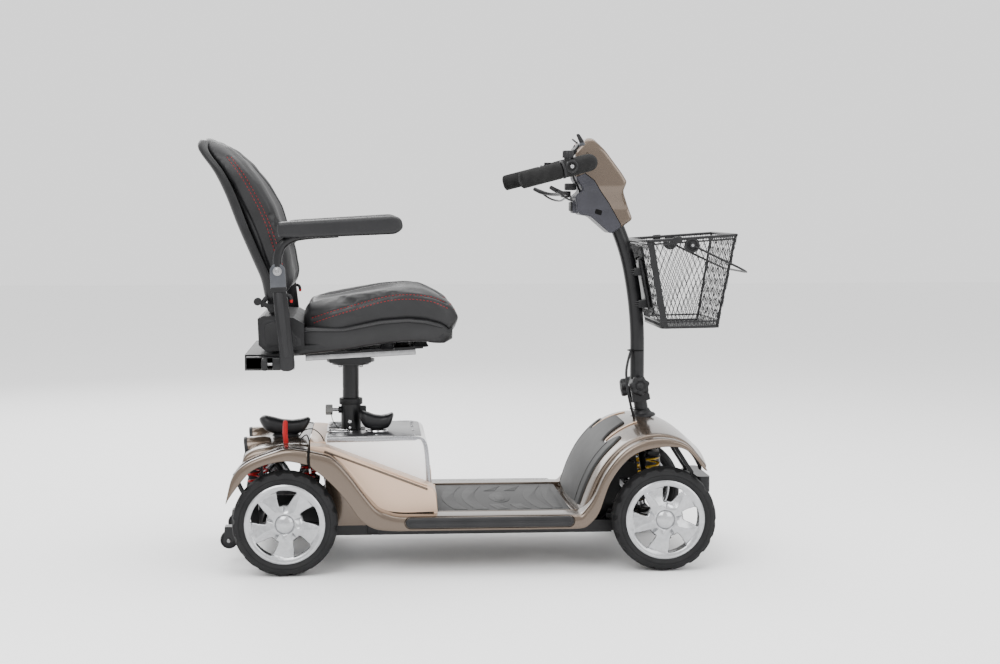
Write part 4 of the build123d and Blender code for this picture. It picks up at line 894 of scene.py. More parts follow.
def saddle(name, x, y, z, length, body, replaces=()):
    """A hand grip like a small saddle: fat upturned ends and a waisted middle on a round stem."""
    k = length / 114
    stations = np.linspace(-60, 57, 31)
    rings = []
    for u in stations:
        high = np.interp(u, [-60, -55, -46, -30, -8, 14, 36, 50, 55, 57],
            [40, 48, 51, 47.5, 41.5, 39.5, 42, 45, 43, 39])
        low = np.interp(u, [-60, -56, -48, -40, -30, -12, 8, 26, 38, 46, 53, 57],
            [37, 27, 16, 10, 6.5, 4.5, 4.0, 5.0, 8.0, 15, 27, 36])
        wide = np.interp(u, [-60, -57, -50, -38, -14, 14, 36, 50, 55, 57],
            [3, 12, 20, 25, 24, 23, 24, 19, 12, 3])
        mid, half = (high + low) / 2, (high - low) / 2
        ring = []
        for i in range(24):
            a = 2 * pi * i / 24
            ca, sa = cos(a), sin(a)
            q = 0.78
            yy = wide * copysign(abs(ca) ** q, ca)
            zz = half * copysign(abs(sa) ** q, sa)
            if sa > 0:
                zz -= 0.16 * half * (1 - (yy / max(wide, 1)) ** 2)
            ring.append(at(x + u * k, y + yy, z + mid + zz))
        rings.append(ring)
    make(name, *skin(rings), "soft_plastic", body, 60, level=1, replaces=replaces)
    lathe(name + "_stem", [(0, 0), (22 * k, 0), (22.5 * k, 1.5), (19 * k, 3), (18 * k, 5),
        (20 * k, 9), (0, 12)], (x, y, z + 0.5), (0, 0, 1), "black_plastic", body, 40)


saddle("rear_hand_grip", -6, -40, 281.5, 114, "chassis", ("saddle_handles",))
saddle("battery_hand_grip", 202, -40, 290.6, 78, "chassis")

# ------------------------------------------------------------ tail lights
for s, label in SIDES:
    axis = Vector((1, 0, 0.12)).normalized()
    spot = (-93, s * 90, 261)
    lathe(f"tail_light_{label}", [(21.5, 5), (22.5, 1), (24.6, 0.4), (25, 3), (24.6, 14), (23, 30),
        (20.4, 46), (17.4, 56), (14, 58), (0, 58.5)], spot, axis, "paint", "chassis", 64,
        replaces=once(s, "tail_light_housings"))
    lathe(f"tail_light_bezel_{label}", [(20.6, 4.5), (20.6, -1.2), (22.4, -2.2), (24.9, -1.6),
        (25.4, 1), (25.3, 5.5), (24.4, 6.5)], spot, axis, "black_plastic", "chassis", 64)
    lathe(f"tail_light_lens_{label}", [(0, -2.4), (6, -2.3), (6.6, -1.7), (12, -1.8), (12.6, -1.2),
        (17.6, -1.1), (18.2, -0.6), (20.8, 0.2), (20.8, 4.8), (0, 4.8)], spot, axis, "lens",
        "chassis", 64, replaces=once(s, "tail_light_lenses"))

# rear cover details: cable loop over the seam, hand strap and red freewheel lever
loop = curve([(30, -150, 284), (40, -168, 297), (48, -196, 302), (54, -232, 290), (55, -256, 276),
    (53.5, -264.5, 262), (54, -265, 248), (55.2, -263.6, 238), (55.8, -261.6, 230)], 60)
pipe("seam_loop", loop, 1.4, "dark", "chassis", 10)
loop = curve([(26, -70, 284), (38, -92, 300), (58, -116, 306), (76, -140, 296), (84, -150, 284)],
    40)
pipe("hand_strap", loop, 1.2, "dark", "chassis", 8)
lathe("seam_loop_ferrule", [(0, -6), (2.6, -6), (2.8, -4), (2.8, 5), (2, 6), (0, 6)],
    (55.8, -261.8, 233), (0.1, 0.4, -1), "steel", "chassis", 20)
lever = curve([(-1, -150, 262), (-0.6, -150.6, 280), (-2.2, -150.4, 300), (-2, -150, 318),
    (-1.2, -150, 331)], 40)
radii = [4.4 + 1.4 * sin(pi * i / 39) ** 0.4 for i in range(40)]
radii[-1], radii[-2], radii[-3] = 1.5, 3.6, 4.6
pipe("freewheel_handle", lever, radii, "red", "freewheel", 20, replaces=("freewheel_lever",))
lathe("freewheel_boss", [(2.7, -4.4), (6.4, -4.4), (7, -3.6), (7, 3.6), (6.4, 4.4), (2.7, 4.4)],
    (-1, -150, 262), (0, 1, 0), "red", "freewheel", 32)

# ------------------------------------------------------------ seat
def squircle(t, q):
    """A point of a rounded square: a circle's point with its corners pushed out."""
    return tuple(copysign(abs(v) ** q, v) for v in (cos(t), sin(t)))


def superring(centre, across, up, a, b, q, count, crown=None):
    ring = []
    for i in range(count):
        t = 2 * pi * i / count
        u, v = squircle(t, q)
        p = np.array(centre) + np.array(across) * a * u + np.array(up) * b * v
        if crown:
            p = p + np.array(up) * crown(u, v)
        ring.append(p)
    return ring


def crowned(dip, flat, ridge, spread):
    """A rise over the upper half of a ring: a dished middle between two ridges."""
    def crown(u, v):
        if v <= 0:
            return 0.0
        hollow = max(0.0, 1 - (abs(u) / flat) ** 4)
        return -dip * v * hollow + 3.0 * v * exp(-((abs(u) - ridge) / spread) ** 2)
    return crown


SEAT_TOP = [(14, 578), (47, 592), (130, 604), (214, 618), (270, 622), (312, 619), (351, 602),
    (377, 586), (386, 566), (388, 556)]
SEAT_LOW = [(40, 517), (58, 520), (129, 520), (213, 536), (270, 540), (312, 536), (348, 526),
    (362, 514), (380, 532), (388, 550)]


def seat_rings():
    rings = []
    xs = np.concatenate([[32, 34, 39, 48], np.linspace(60, 340, 26),
        [352, 362, 372, 381, 387, 390]])
    for x in xs:
        top, low = read(SEAT_TOP, x), read(SEAT_LOW, x)
        wide = 207 - 26 * max(0, (x - 300) / 85) ** 2.4 - 30 * max(0, (110 - x) / 64) ** 1.6
        if x < 46:
            wide -= (46 - x) * 0.9
            top -= (46 - x) * 0.9
            low += (46 - x) * 0.5
        mid, half = (top + low) / 2, max((top - low) / 2, 7)
        dip = 17 * exp(-((x - 150) / 115) ** 4) + 5
        ring = superring((x, 0, mid), (0, 1, 0), (0, 0, 1), wide, half, 0.36, 64,
            crowned(dip, 0.70, 0.78, 0.12))
        rings.append([at(*p) for p in ring])
    return rings


BACK_REAR = [(-178, 962), (-184, 941), (-176, 924), (-142, 882), (-117, 834), (-90, 763),
    (-56, 683), (-38, 644), (-30, 610)]
BACK_FRONT = [(-170, 966), (-157, 957), (-122, 938), (-87, 906), (-50, 858), (-20, 805), (-9, 767),
    (10, 706), (22, 640), (14, 606)]


def back_half_width(z):
    if z < 700:
        return 197 - 10 * ((700 - z) / 95) ** 2
    if z < 850:
        return 197.0
    t = (z - 850) / 114
    return 86 + 111 * max(0.0, 1 - t ** 2.4) ** 0.5


def back_rings():
    rings = []
    front = sorted((z, x) for x, z in BACK_FRONT)
    rear = sorted((z, x) for x, z in BACK_REAR)
    zs = np.concatenate([[606, 609, 614, 622], np.linspace(636, 930, 26),
        [938, 945, 951, 956, 959, 961]])
    for z in zs:
        xf, xr = read(front, z), read(rear, z)
        wide = back_half_width(z)
        pinch = max(0.0, (626 - z) / 20)
        xr -= 6.0
        xf -= 12 * pinch ** 2
        xr += 5 * pinch ** 2
        if z > 936:
            xf -= 3 * ((z - 936) / 25) ** 2
        mid, half = (xf + xr) / 2, max((xf - xr) / 2, 5)
        dip = 15 * exp(-((z - 760) / 150) ** 4) + 4
        ring = superring((mid, 0, z), (0, 1, 0), (1, 0, 0), wide, half, 0.42, 64,
            crowned(dip, 0.72, 0.80, 0.1))
        rings.append([at(*p) for p in ring])
    return rings


SHRINK = 4.0


def cushion(name, rings, cap):
    """A stuffed piece: the plain shape is remeshed and blown up as cloth, by up to cap."""
    obj = raw(name, rings)
    work = bmesh.new()
    work.from_mesh(obj.data)
    for v in list(work.verts):
        v.normal_update()
    moved = [v.co - v.normal * SHRINK / 1000 for v in work.verts]
    for v, co in zip(work.verts, moved):
        v.co = co
    work.to_mesh(obj.data)
    work.free()
    even_skin(obj, voxel=0.0055, rounds=4)
    rest = np.array([v.co for v in obj.data.vertices])
    cloth = obj.modifiers.new("cloth", "CLOTH")
    cloth.settings.use_pressure = True
    cloth.settings.uniform_pressure_force = 4.0
    cloth.settings.effector_weights.gravity = 0.0
    cloth.settings.quality = 5
    cloth.settings.tension_stiffness = 25
    cloth.settings.compression_stiffness = 25
    cloth.settings.shear_stiffness = 12
    cloth.settings.bending_stiffness = 2.0
    cloth.point_cache.frame_end = 20
    for number in range(1, 21):
        bpy.context.scene.frame_set(number)
    graph = bpy.context.evaluated_depsgraph_get()
    result = obj.evaluated_get(graph)
    blown = np.array([v.co for v in result.data.vertices])
    obj.modifiers.clear()
    bpy.context.scene.frame_set(1)
    shift = blown - rest
    size = np.linalg.norm(shift, axis=1)[:, None]
    shift = shift * np.minimum(1.0, cap / 1000 / np.maximum(size, 1e-9))
    for v, co in zip(obj.data.vertices, rest + shift):
        v.co = Vector(co)
    return obj


def groove(obj, lines, wide, deep):
    """Pulls the surface in along sewn lines, given as points in the row frame."""
    spots = [p for line in lines for p in line]
    tree = KDTree(len(spots))
    for i, p in enumerate(spots):
        tree.insert(p, i)
    tree.balance()
    normals = [v.normal.copy() for v in obj.data.vertices]
    for v, n in zip(obj.data.vertices, normals):
        d = tree.find(v.co)[2] * 1000
        if d < wide * 2.5:
            v.co = v.co - n * deep / 1000 * exp(-(d / wide) ** 2)


def cast(obj, starts, ends, lift=0.0):
    """Where lines from starts towards ends first meet the piece."""
    graph = bpy.context.evaluated_depsgraph_get()
    graph.update()
    tree = BVHTree.FromPolygons([v.co for v in obj.data.vertices],
        [p.vertices for p in obj.data.polygons])
    out = []
    for a, b in zip(starts, ends):
        d = (b - a).normalized()
        hit, normal = tree.ray_cast(a, d)[:2]
        if hit is not None:
            if normal.dot(d) > 0:
                normal = -normal
            out.append(hit + normal * lift / 1000)
    return out


STITCH, STITCH_GAP, THREAD_R, THREAD_LIFT = 5.2, 2.6, 0.55, 0.15


def stitches(name, line, body):
    """A row of short threads along a line of points."""
    length = sum((b - a).length for a, b in zip(line, line[1:])) * 1000
    pts = even(millimetres(line), max(3, int(length / ((STITCH + STITCH_GAP) / 4))))
    paths = [pts[i:i + 3] for i in range(0, len(pts) - 3, 4)]
    return many_pipes(name, paths, THREAD_R, "thread", body, 5)


def side_cast(obj, line, s, lift=0.2):
    return cast(obj, [at(x, s * 420, z) for x, z in line], [at(x, 0, z) for x, z in line], lift)


def top_cast(obj, line):
    return cast(obj, [at(x, y, 720) for x, y in line], [at(x, y, 500) for x, y in line])


def seat_waist(x):
    """How much the lower seat draws in towards its front and its back."""
    return 26 * max(0, (x - 300) / 85) ** 2.4 + 22 * max(0, (110 - x) / 100) ** 1.6


def finish_cushion(obj, node, body):
    step = obj.modifiers.new("smooth", "SUBSURF")
    step.levels = step.render_levels = 1
    apply(obj)
    obj.data.materials.clear()
    obj.data.materials.append(MAT["leather"])
    shade(obj, 70)
    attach(obj, body)
    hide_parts(node)


UPPER_STITCH = [(60, 560), (110, 577), (158, 590), (204, 603), (242, 610), (284, 611), (326, 605),
    (356, 592)]
LOWER_STITCH = [(64, 549), (112, 567), (158, 580), (204, 593), (242, 600), (284, 601), (326, 595),
    (360, 580)]
seat = cushion("seat_cushion_look", seat_rings(), cap=9)
seams, threads = [], []
for s in (1, -1):
    for number, line in enumerate((UPPER_STITCH, LOWER_STITCH)):
        side_line = side_cast(seat, curve(line, 90), s, 0.0)
        threads.append((s, number, line))
        if number == 0:
            seams.append(side_line)
    ridge = [(x, s * y) for x, y in curve([(70, 128), (150, 140), (240, 146), (310, 140),
        (352, 120)], 80)]
    seams.append(top_cast(seat, ridge))
cross = [(352, y) for y in np.linspace(-120, 120, 60)]
seams.append(top_cast(seat, cross))
finish_cushion(seat, "seat_cushion", "seat")
groove(seat, seams, wide=3.2, deep=2.6)
for s, number, line in threads:
    label = ("left" if s > 0 else "right") + ("_upper" if number == 0 else "_lower")
    run = side_cast(seat, curve(line, 160), s, THREAD_LIFT)
    stitches(f"seat_stitch_{label}", run, "seat")
for number, z in enumerate((590, 579)):
    ys = np.linspace(-176, 176, 120)
    run = cast(seat, [at(520, y, z - 0.0006 * (y * y) * 0.2) for y in ys],
        [at(200, y * 0.97, z) for y in ys], THREAD_LIFT)
    stitches(f"seat_stitch_front_{number}", run, "seat")

back = cushion("backrest_cushion_look", back_rings(), cap=8)
STITCH_BACK = curve([(-118, 913), (-88, 872), (-62, 826), (-40, 780), (-26, 742), (-14, 700),
    (-4, 660), (-3, 628)], 120)
seams = []
for s in (1, -1):
    seams.append(side_cast(back, STITCH_BACK, s, 0.0))
    seams.append(side_cast(back, [(x - 26 - 14 * (z - 628) / 285, z) for x, z in STITCH_BACK], s,
        0.0))
    inner = curve([(132, 640), (140, 720), (140, 800), (128, 870), (96, 918), (40, 934), (0, 936)],
        110)
    seams.append(cast(back, [at(260, s * y, z) for y, z in inner],
        [at(-300, s * y, z) for y, z in inner]))
finish_cushion(back, "backrest_cushion", "backrest")
groove(back, seams, wide=3.2, deep=2.6)
for s, label in SIDES:
    for number, back_by in enumerate((4.5, -4.5)):
        run = side_cast(back, [(x + back_by, z) for x, z in STITCH_BACK], s, THREAD_LIFT)
        stitches(f"back_stitch_{label}_{number}", run, "backrest")

# backrest shell: a thin moulded sheet behind the cushion
rings = []
rear_line = curve([(-186, 954), (-192, 941), (-184, 924), (-153, 882), (-129, 834), (-102, 763),
    (-68, 683), (-52, 644), (-45, 606)], 34)
for x, z in rear_line:
    wide = back_half_width(min(z, 958))
    section = [(-wide - 0.5, 26), (-wide - 0.6, 18), (-wide + 1.5, 9), (-wide + 9, 3),
        (-wide + 26, 0.5), (-wide * 0.5, -1.0), (0, -1.5), (wide * 0.5, -1.0), (wide - 26, 0.5),
        (wide - 9, 3), (wide - 1.5, 9), (wide + 0.6, 18), (wide + 0.5, 26)]
    rings.append([at(x + d, y, z - d * 0.10) for y, d in section])
sheet_from("backrest_shell_look", rings, "black_plastic", "backrest", 1, thick=3.0,
    replaces=("backrest_shell",))
for s, label in SIDES:
    lathe(f"back_hinge_{label}", [(4.2, 110.6), (11, 110.6), (11.5, 112), (11.5, 158), (11, 159.8),
        (4.2, 159.8)], (-28, 0, 582), (0, s, 0), "black_coat", "backrest", 40)
    slab(f"back_hinge_arm_{label}", rounded([(-38, 584), (-24, 586), (-27, 640), (-41, 650)], 5),
        s * 111, s * 159, "black_coat", "backrest", 1.5)
    pts = [(-30, s * 176, 612), (-40, s * 178, 604), (-47, s * 180, 592), (-46, s * 181, 585)]
    pipe(f"back_latch_{label}", curve(pts, 16), 5.5, "black_plastic", "backrest", 14)

# the lower, moulded part of the seat under the cushion's welt
rings = []
foot = [(3, 474), (142, 491), (196, 500), (250, 506), (304, 508), (330, 503), (352, 503),
    (372, 512)]
for x in np.concatenate([[10, 13, 20], np.linspace(36, 340, 24), [352, 361, 367, 370]]):
    bottom = read(foot, x)
    top = read(SEAT_LOW, x) + 15
    wide = 205 - seat_waist(x)
    if x < 36:
        wide -= (36 - x) * 0.7
        top -= (36 - x) * 0.4
    if x > 352:
        wide -= (x - 352) * 0.6
    half = [(0, top + 6), (wide - 24, top + 6), (wide - 7, top + 4), (wide - 2.5, top),
        (wide - 1, top - 5), (wide - 3.5, (top + bottom) / 2), (wide - 9, bottom + 5),
        (wide - 13, bottom + 1.4), (wide - 20, bottom), (0, bottom)]
    rings.append([at(x, y, h) for y, h in half] + [at(x, -y, h) for y, h in half[-2:0:-1]])
make("seat_lower_shell", *skin(rings), "leather", "seat", 50)
for s, label in SIDES:
    welt = [(x, s * (206 - seat_waist(x)), read(SEAT_LOW, x) + 13)
        for x in np.linspace(44, 348, 60)]
    pipe(f"seat_welt_{label}", welt, 1.5, "leather", "seat", 10)

# ------------------------------------------------------------ armrests
ARM_Y = 249


def lobed(name, centre, axis, radius, depth, lobes, finish, body, deep=0.16, replaces=()):
    """A hand knob with rounded lobes and a dished face."""
    axis, u, v = axis_frame(axis)
    origin = at(*centre)
    rings = []
    for scale, h in ((0.30, 0), (0.86, 0), (0.97, 0.10), (1.0, 0.3), (1.0, 0.66), (0.95, 0.88),
            (0.82, 0.98), (0.62, 1.0), (0.52, 0.93), (0.40, 0.90), (0.36, 1.02), (0.28, 1.06),
            (0.02, 1.06)):
        ring = []
        for k in range(lobes * 12):
            a = 2 * pi * k / (lobes * 12)
            wave = 1 - deep * (0.5 - 0.5 * cos(a * lobes)) if scale > 0.6 else 1
            r = radius * scale * wave / 1000
            ring.append(origin + axis * (h * depth / 1000) + (u * cos(a) + v * sin(a)) * r)
        rings.append(ring)
    return make(name, *skin(rings), finish, body, 45, replaces=replaces)


for s, label in SIDES:
    arm, rest = f"{label}_arm", f"{label}_rest"
    mid = s * ARM_Y
    pad = rounded([(-9, 738), (-11, 771), (10, 773.5), (238, 786.5), (256, 780), (261, 758),
        (244, 745.5), (39, 737)], 9, 5)
    cushiony(f"{label}_arm_pad", pad, s * 240, s * 290, 9, "soft_plastic", rest,
        (f"{label}_armrest",))
    path = curve([(-11, mid, 676), (-10, mid, 700), (0, mid, 723), (20, mid, 737), (46, mid, 743),
        (120, mid, 748)], 40)
    pipe(f"{label}_arm_tube", path, 10, "black_coat", rest, 24)
    lathe(f"{label}_arm_eye", [(4.2, -4.8), (12.4, -4.8), (13, -4), (13, 4), (12.4, 4.8),
        (4.2, 4.8)], (-11, mid, 666), (0, 1, 0), "black_coat", rest, 40)
    slab(f"{label}_arm_neck", [(-17, 666), (-5, 666), (-2, 694), (-19, 694)], s * 244.5, s * 253.5,
        "black_coat", rest, 1.0)
    bar = rounded([(-22, 632), (7, 632), (12, 590), (22, 500), (25, 456), (14, 449), (-6, 450),
        (-9, 500), (-18, 580)], 7, 4)
    slab(f"{label}_arm_bar", bar, s * 242.5, s * 255.5, "black_coat", arm, 2.4,
        (f"{label}_arm_support",))
    slab(f"{label}_arm_bar_rib", rounded([(-15, 620), (-1, 620), (4, 570), (13, 480), (2, 480),
        (-4, 520), (-12, 590)], 5, 3), s * 255.0, s * 256.8, "soft_plastic", arm, 0.8)
    ear = [(-26, 628), (8, 628)]
    for k in range(17):
        a = -0.15 + pi * 1.1 * k / 16
        ear.append((-11 + 16.4 * cos(a), 666 + 16.4 * sin(a)))
    for y0, y1 in ((5.4, 8.2), (-8.2, -5.4)):
        side_name = "outer" if y0 > 0 else "inner"
        slab(f"{label}_arm_ear_{side_name}", ear, s * (ARM_Y + y0), s * (ARM_Y + y1), "steel_grey",
            arm, 0.9)
    lathe(f"{label}_arm_bolt", [(0, 8), (9.2, 8), (9.6, 9), (9.4, 10.4), (7.4, 10.8), (6.8, 10.6),
        (6.6, 13.0), (4.4, 13.6), (3.6, 12.2), (0, 12.0)], (-11, mid, 666), (0, s, 0), "steel", arm,
        36, smooth=30)
    slab(f"{label}_arm_collar", rounded([(-25, 620), (9, 622), (8, 632), (-25, 631)], 2, 3),
        s * 240.5, s * 257.5, "black_plastic", arm, 1.2)
    pipe(f"{label}_arm_adjuster", curve([(3, mid, 611), (10, mid, 614), (16, mid, 611),
        (18, mid, 604)], 14), 3.6, "black_plastic", arm, 14)
    pipe(f"{label}_arm_adjuster_tip", [(17.6, mid, 606), (18.2, mid, 602), (18.4, mid, 598)],
        [3.0, 3.6, 2.6], "red", arm, 14)
    for k, (x0, x1, y0, y1, z0, z1) in enumerate(((-82.5, -13.5, 90, 226, 450.5, 478.5),
            (-82.5, 20, 219, 226, 451, 478), (-24, 20, 225, 246, 451, 478))):
        block(f"{label}_arm_slide_{k}", x0, x1, s * y0, s * y1, z0, z1, "black_coat", arm, 2.0)
    block(f"{label}_arm_clamp", 14, 24, s * 227, s * 243, 452, 470, "steel", arm, 1.2)
    lobed(f"{label}_arm_hand_knob", (-34.5, s * 244, 464), (-1, 0, 0), 16.5, 13, 4, "black_plastic",
        f"{label}_arm_screw", 0.24, (f"{label}_arm_knob",))
    pipe(f"{label}_arm_hand_screw", [(-36, s * 244, 464), (-30, s * 244, 464),
        (-24.2, s * 244, 464)], 3.4, "steel", f"{label}_arm_screw", 16)

# ------------------------------------------------------------ seat underside and post
hull = rounded([(-54, 496), (-59, 520), (-58, 548), (-50, 563), (-30, 567), (0, 560), (18, 548),
    (30, 528), (44, 520), (46, 494), (20, 489), (-36, 486)], 8, 4)
make("seat_hull", *skin(round_box(hull, -199, 199, 12)), "soft_plastic", "seat", 55, level=1)
scoop = rounded([(-40, 500), (-44, 545), (-22, 555), (8, 540), (28, 512), (24, 500)], 8, 4)
for s, label in SIDES:
    slab(f"seat_hull_scoop_{label}", scoop, s * 199.0, s * 201.5, "black_plastic", "seat", 1.2)
for number, (x, y) in enumerate(((70, 90), (70, -90), (150, 150), (150, -150), (260, 90),
        (260, -90), (225, 150), (225, -150), (300, 130), (300, -130))):
    low = 478 + tan(radians(3)) * (x - POST_X) + 5.5
    high = np.interp(x, [58, 129, 213, 270, 348], [505, 511, 527, 531, 523])
    lathe(f"seat_foot_{number}", [(0, 0), (17, 0), (18.5, 1.5), (17, 4), (14.5, 8),
        (13.8, high - low - 4), (16.5, high - low), (0, high - low)], (x, y, low), (0, 0, 1),
        "black_plastic", "seat", 32)
for s, label in SIDES:
    rings = [[at(POST_X + u * 0.99863 + dz * -0.0523, s * y, 478 + u * 0.05234 + dz * 0.99863)
        for y, dz in ((116, -12.6), (118.2, -11.8), (119, -6.5), (118.2, -1.4), (116, -0.6))]
        for u in (-99, 146)]
    make(f"seat_rail_face_{label}", *skin(rings), "steel", "swivel", 40)
lathe("post_flange", [(19.2, 0), (42.5, 0.2), (43.2, 1.6), (43, 4.6), (41.6, 5.8), (19.2, 5.8)],
    (POST_X, 0, 442), (0, 0, 1), "black_coat", "post", 64, loop=True)
for k in range(4):
    a = pi / 4 + pi / 2 * k
    screw(f"post_flange_bolt_{k}", (POST_X + 34 * cos(a), 34 * sin(a), 441.6), (0, 0, -1), 5,
        "steel", "post", 5)
lathe("socket_collar", [(23, -14), (26.4, -14), (27, -12.8), (27, -1.4), (26, 0), (20, 0.2),
    (19.3, -1)], (POST_X, 0, 363.6), (0, 0, 1), "black_plastic", "chassis", 64)
for k, z in enumerate((310, 296)):
    screw(f"socket_rivet_{k}", (140, -22.6, z), (0, -1, 0), 4.6 if k == 0 else 3.6, "chrome",
        "chassis", 3)
screw("battery_rivet", (142, -58, 291.2), (0, 0, 1), 4.6, "chrome", "chassis", 3)
for k in range(3):
    screw(f"post_mark_{k}", (POST_X, -18.7, 421 + 25 * k), (0, -1, 0), 2.4, "black_plastic", "post",
        0.4)
pipe("pin_bar", [(101, 0, 336), (110, 0, 336), (122.6, 0, 336)], 4, "steel", "pin", 18)
lathe("pin_bar_sleeve", [(4, -3.5), (9, -3.5), (9.6, -2.4), (9.6, 2.4), (9, 3.5), (4, 3.5)],
    (97, 0, 336), (1, 0, 0), "black_plastic", "pin", 32, loop=True)
rings = []
for h, scale in ((0, 0.3), (0, 0.88), (1.4, 1.0), (14.6, 1.0), (16.4, 0.92), (17, 0.3)):
    ring = []
    for k in range(96):
        a = 2 * pi * k / 96
        r = 12.2 * scale * (1 - (0.09 if (k % 8) in (0, 1, 2) and scale > 0.5 else 0))
        ring.append(at(84 + h, r * cos(a), 336 + r * sin(a)))
    rings.append(ring)
make("pin_knob", *skin(rings), "knob_grey", "pin", 30, replaces=("post_pin",))
lanyard = curve([(97, -13, 331), (99, -19, 320), (104, -24, 308), (112, -30, 298),
    (116, -36, 292.5)], 26)
pipe("pin_lanyard", lanyard, 0.9, "dark", "chassis", 8)
block("socket_catch", 163, 178, -9, 9, 327, 345, "black_plastic", "chassis", 3)

# ------------------------------------------------------------ rear and front running gear
for s, label in SIDES:
    lathe(f"{label}_anti_tip_tread", [(3.2, -9), (7, -9), (8, -7), (15.5, -7), (17, -8.6),
        (18.6, -8), (20, -5.4), (20, 5.4), (18.6, 8), (17, 8.6), (15.5, 7), (8, 7), (7, 9),
        (3.2, 9)], (-131, s * 112, 57), (0, 1, 0), "black_plastic", f"{label}_anti_tip", 56,
        replaces=(f"{label}_anti_tip_wheel",), loop=True)
    screw(f"{label}_anti_tip_bolt", (-131, s * 127, 57), (0, s, 0), 4.6, "steel", "chassis", 4.4)
    for k, x in enumerate((-72, 48)):
        for z, up in ((157, 1), (233, -1)):
            where = "drive_unit" if up > 0 else "chassis"
            lathe(f"{label}_rear_cup_{k}_{'low' if up > 0 else 'high'}",
                [(0, 0), (17, 0), (18, 1.2), (17.6, 3), (9, 3.4), (8.4, 9), (0, 9.6)],
                (x, s * 150, z), (0, 0, up), "black_coat", where, 36)
    for z, up, where in ((152.6, 1, "front_axle"), (239.4, -1, "chassis")):
        lathe(f"{label}_front_cup_{'low' if up > 0 else 'high'}",
            [(0, 0), (17.5, 0), (18.5, 1.2), (18, 3.4), (9, 3.8), (8.6, 12), (0, 13)],
            (828, s * 120, z), (0, 0, up), "steel" if up > 0 else "black_coat", where, 36)
    lathe(f"{label}_rear_hub_flange", [(9.5, 0), (20, 0), (21, 2), (20, 6), (13, 8), (9.5, 8)],
        (0, s * 176, 115), (0, s, 0), "steel", f"rear_{label}_wheel", 36)
    screw(f"{label}_bumper_screw", (969, s * 50, 166), (1, 0, 0), 5, "steel", "chassis", 3)
    slab(f"{label}_mudguard_stay", rounded([(-96, 150), (-110, 176), (-116, 196), (-108, 198),
        (-100, 178), (-86, 152)], 3, 3), s * 118, s * 123, "black_coat", "chassis", 1)
bumper = rounded([(939, 150), (966, 152), (969, 166), (966, 181), (941, 183)], 6, 4)
cushiony("bumper_pad", bumper, -91, 91, 7, "soft_plastic", "chassis")
rings = []
for k in range(17):
    y = -230 + 460 * k / 16
    share = (y / 262) ** 2
    rings.append([at(930 - 14 * share, y, 246 - 20 * share + 4),
        at(936 - 14 * share, y, 238 - 24 * share), at(930 - 14 * share, y, 232 - 22 * share),
        at(922 - 14 * share, y, 238 - 22 * share)])
make("shroud_nose_strip", *skin(rings), "black_plastic", "chassis", 50, level=1)
for k, y in enumerate((-24, -14)):
    loom = curve([(722, y, 150), (742, y - 30, 186), (748, y - 60, 214), (764, y - 88, 226),
        (786, y - 100, 224)], 30)
    pipe(f"front_loom_{k}", loom, 2.2, "black_plastic", "chassis", 10)

# ------------------------------------------------------------ steering column and tiller
PIVOT_X, PIVOT_Z = 810.9, 389.1
LEAN_X, LEAN_Z = 0.16505, 0.98629     # the column's direction, backward and up
lobed("tiller_knob_right", (PIVOT_X, -26, PIVOT_Z), (0, -1, 0), 24, 18, 7, "black_plastic", "knobs",
    0.15, ("tiller_knobs",))
lobed("tiller_knob_left", (PIVOT_X, 26, PIVOT_Z), (0, 1, 0), 24, 18, 7, "black_plastic", "knobs",
    0.15)
pipe("tiller_pivot_bolt", [(PIVOT_X, -30, PIVOT_Z), (PIVOT_X, 0, PIVOT_Z), (PIVOT_X, 30, PIVOT_Z)],
    5, "steel", "knobs", 20)
screw("tiller_knob_centre", (PIVOT_X, -45, PIVOT_Z), (0, -1, 0), 6, "soft_plastic", "knobs", 2)
lobed("rear_star_knob", (786, -2, 384), (-1, 0, -0.12), 22, 15, 6, "black_plastic", "column", 0.17)
pipe("rear_star_stem", [(798, -2, 386), (792, -2, 385), (785, -2, 384)], 5, "steel", "column", 14)
for k in range(4):
    up = 108 + 26 * k
    spot = (871.9 - LEAN_X * up, -5, 121 + LEAN_Z * up)
    screw(f"column_screw_{k}", spot, (0.986, 0, 0.165), 3.2, "chrome", "column", 2.2)
ring_at = (836 + 20.2 - LEAN_X * 196, 0, 115 + 3.4 + LEAN_Z * 196)
lathe("column_boot", [(16.4, 0), (30, 1), (31, 4), (28, 8), (22, 11), (18, 20), (16.4, 21)],
    ring_at, (-LEAN_X, 0, LEAN_Z), "black_plastic", "column", 56, loop=True)
for k, (x, z) in enumerate(((806, 470), (812, 332))):
    tie = [(*place, z) for place in circle(x, -1, 18.4, 18.4, 40)]
    pipe(f"cable_tie_{k}", tie, 1.3, "dark", "tiller" if k == 0 else "column", 8, closed=True)

# ------------------------------------------------------------ tiller head
HEAD_SIDE = [(655, 929), (683, 962), (697, 961), (724, 934), (763, 882), (776, 861), (767, 840),
    (792, 775), (766, 757), (741, 741), (722, 757), (694, 782), (667, 786), (656, 827), (675, 843),
    (658, 868)]
HEAD_SPLIT = [(630, 875), (657, 872), (679, 881), (700, 865), (716, 839), (737, 812), (764, 765),
    (772, 700), (900, 700), (900, 1040), (630, 1040)]


HEAD_HALF = 66


def head_mesh(name):
    """The whole tiller head as one smooth piece, narrower below."""
    outline = even([*HEAD_SIDE, HEAD_SIDE[0]], 97)[:-1]
    obj = raw(name, [[at(x, y, z) for x, z in outline] for y in (-HEAD_HALF, HEAD_HALF)])
    even_skin(obj, voxel=0.0026, rounds=26)
    for v in obj.data.vertices:
        z = v.co.z * 1000
        t = min(max((z - 795) / 60, 0), 1)
        wide = 44 + 22 * t * t * (3 - 2 * t) - 12 * min(max((z - 925) / 40, 0), 1) ** 2
        v.co.y *= wide / HEAD_HALF
    return obj


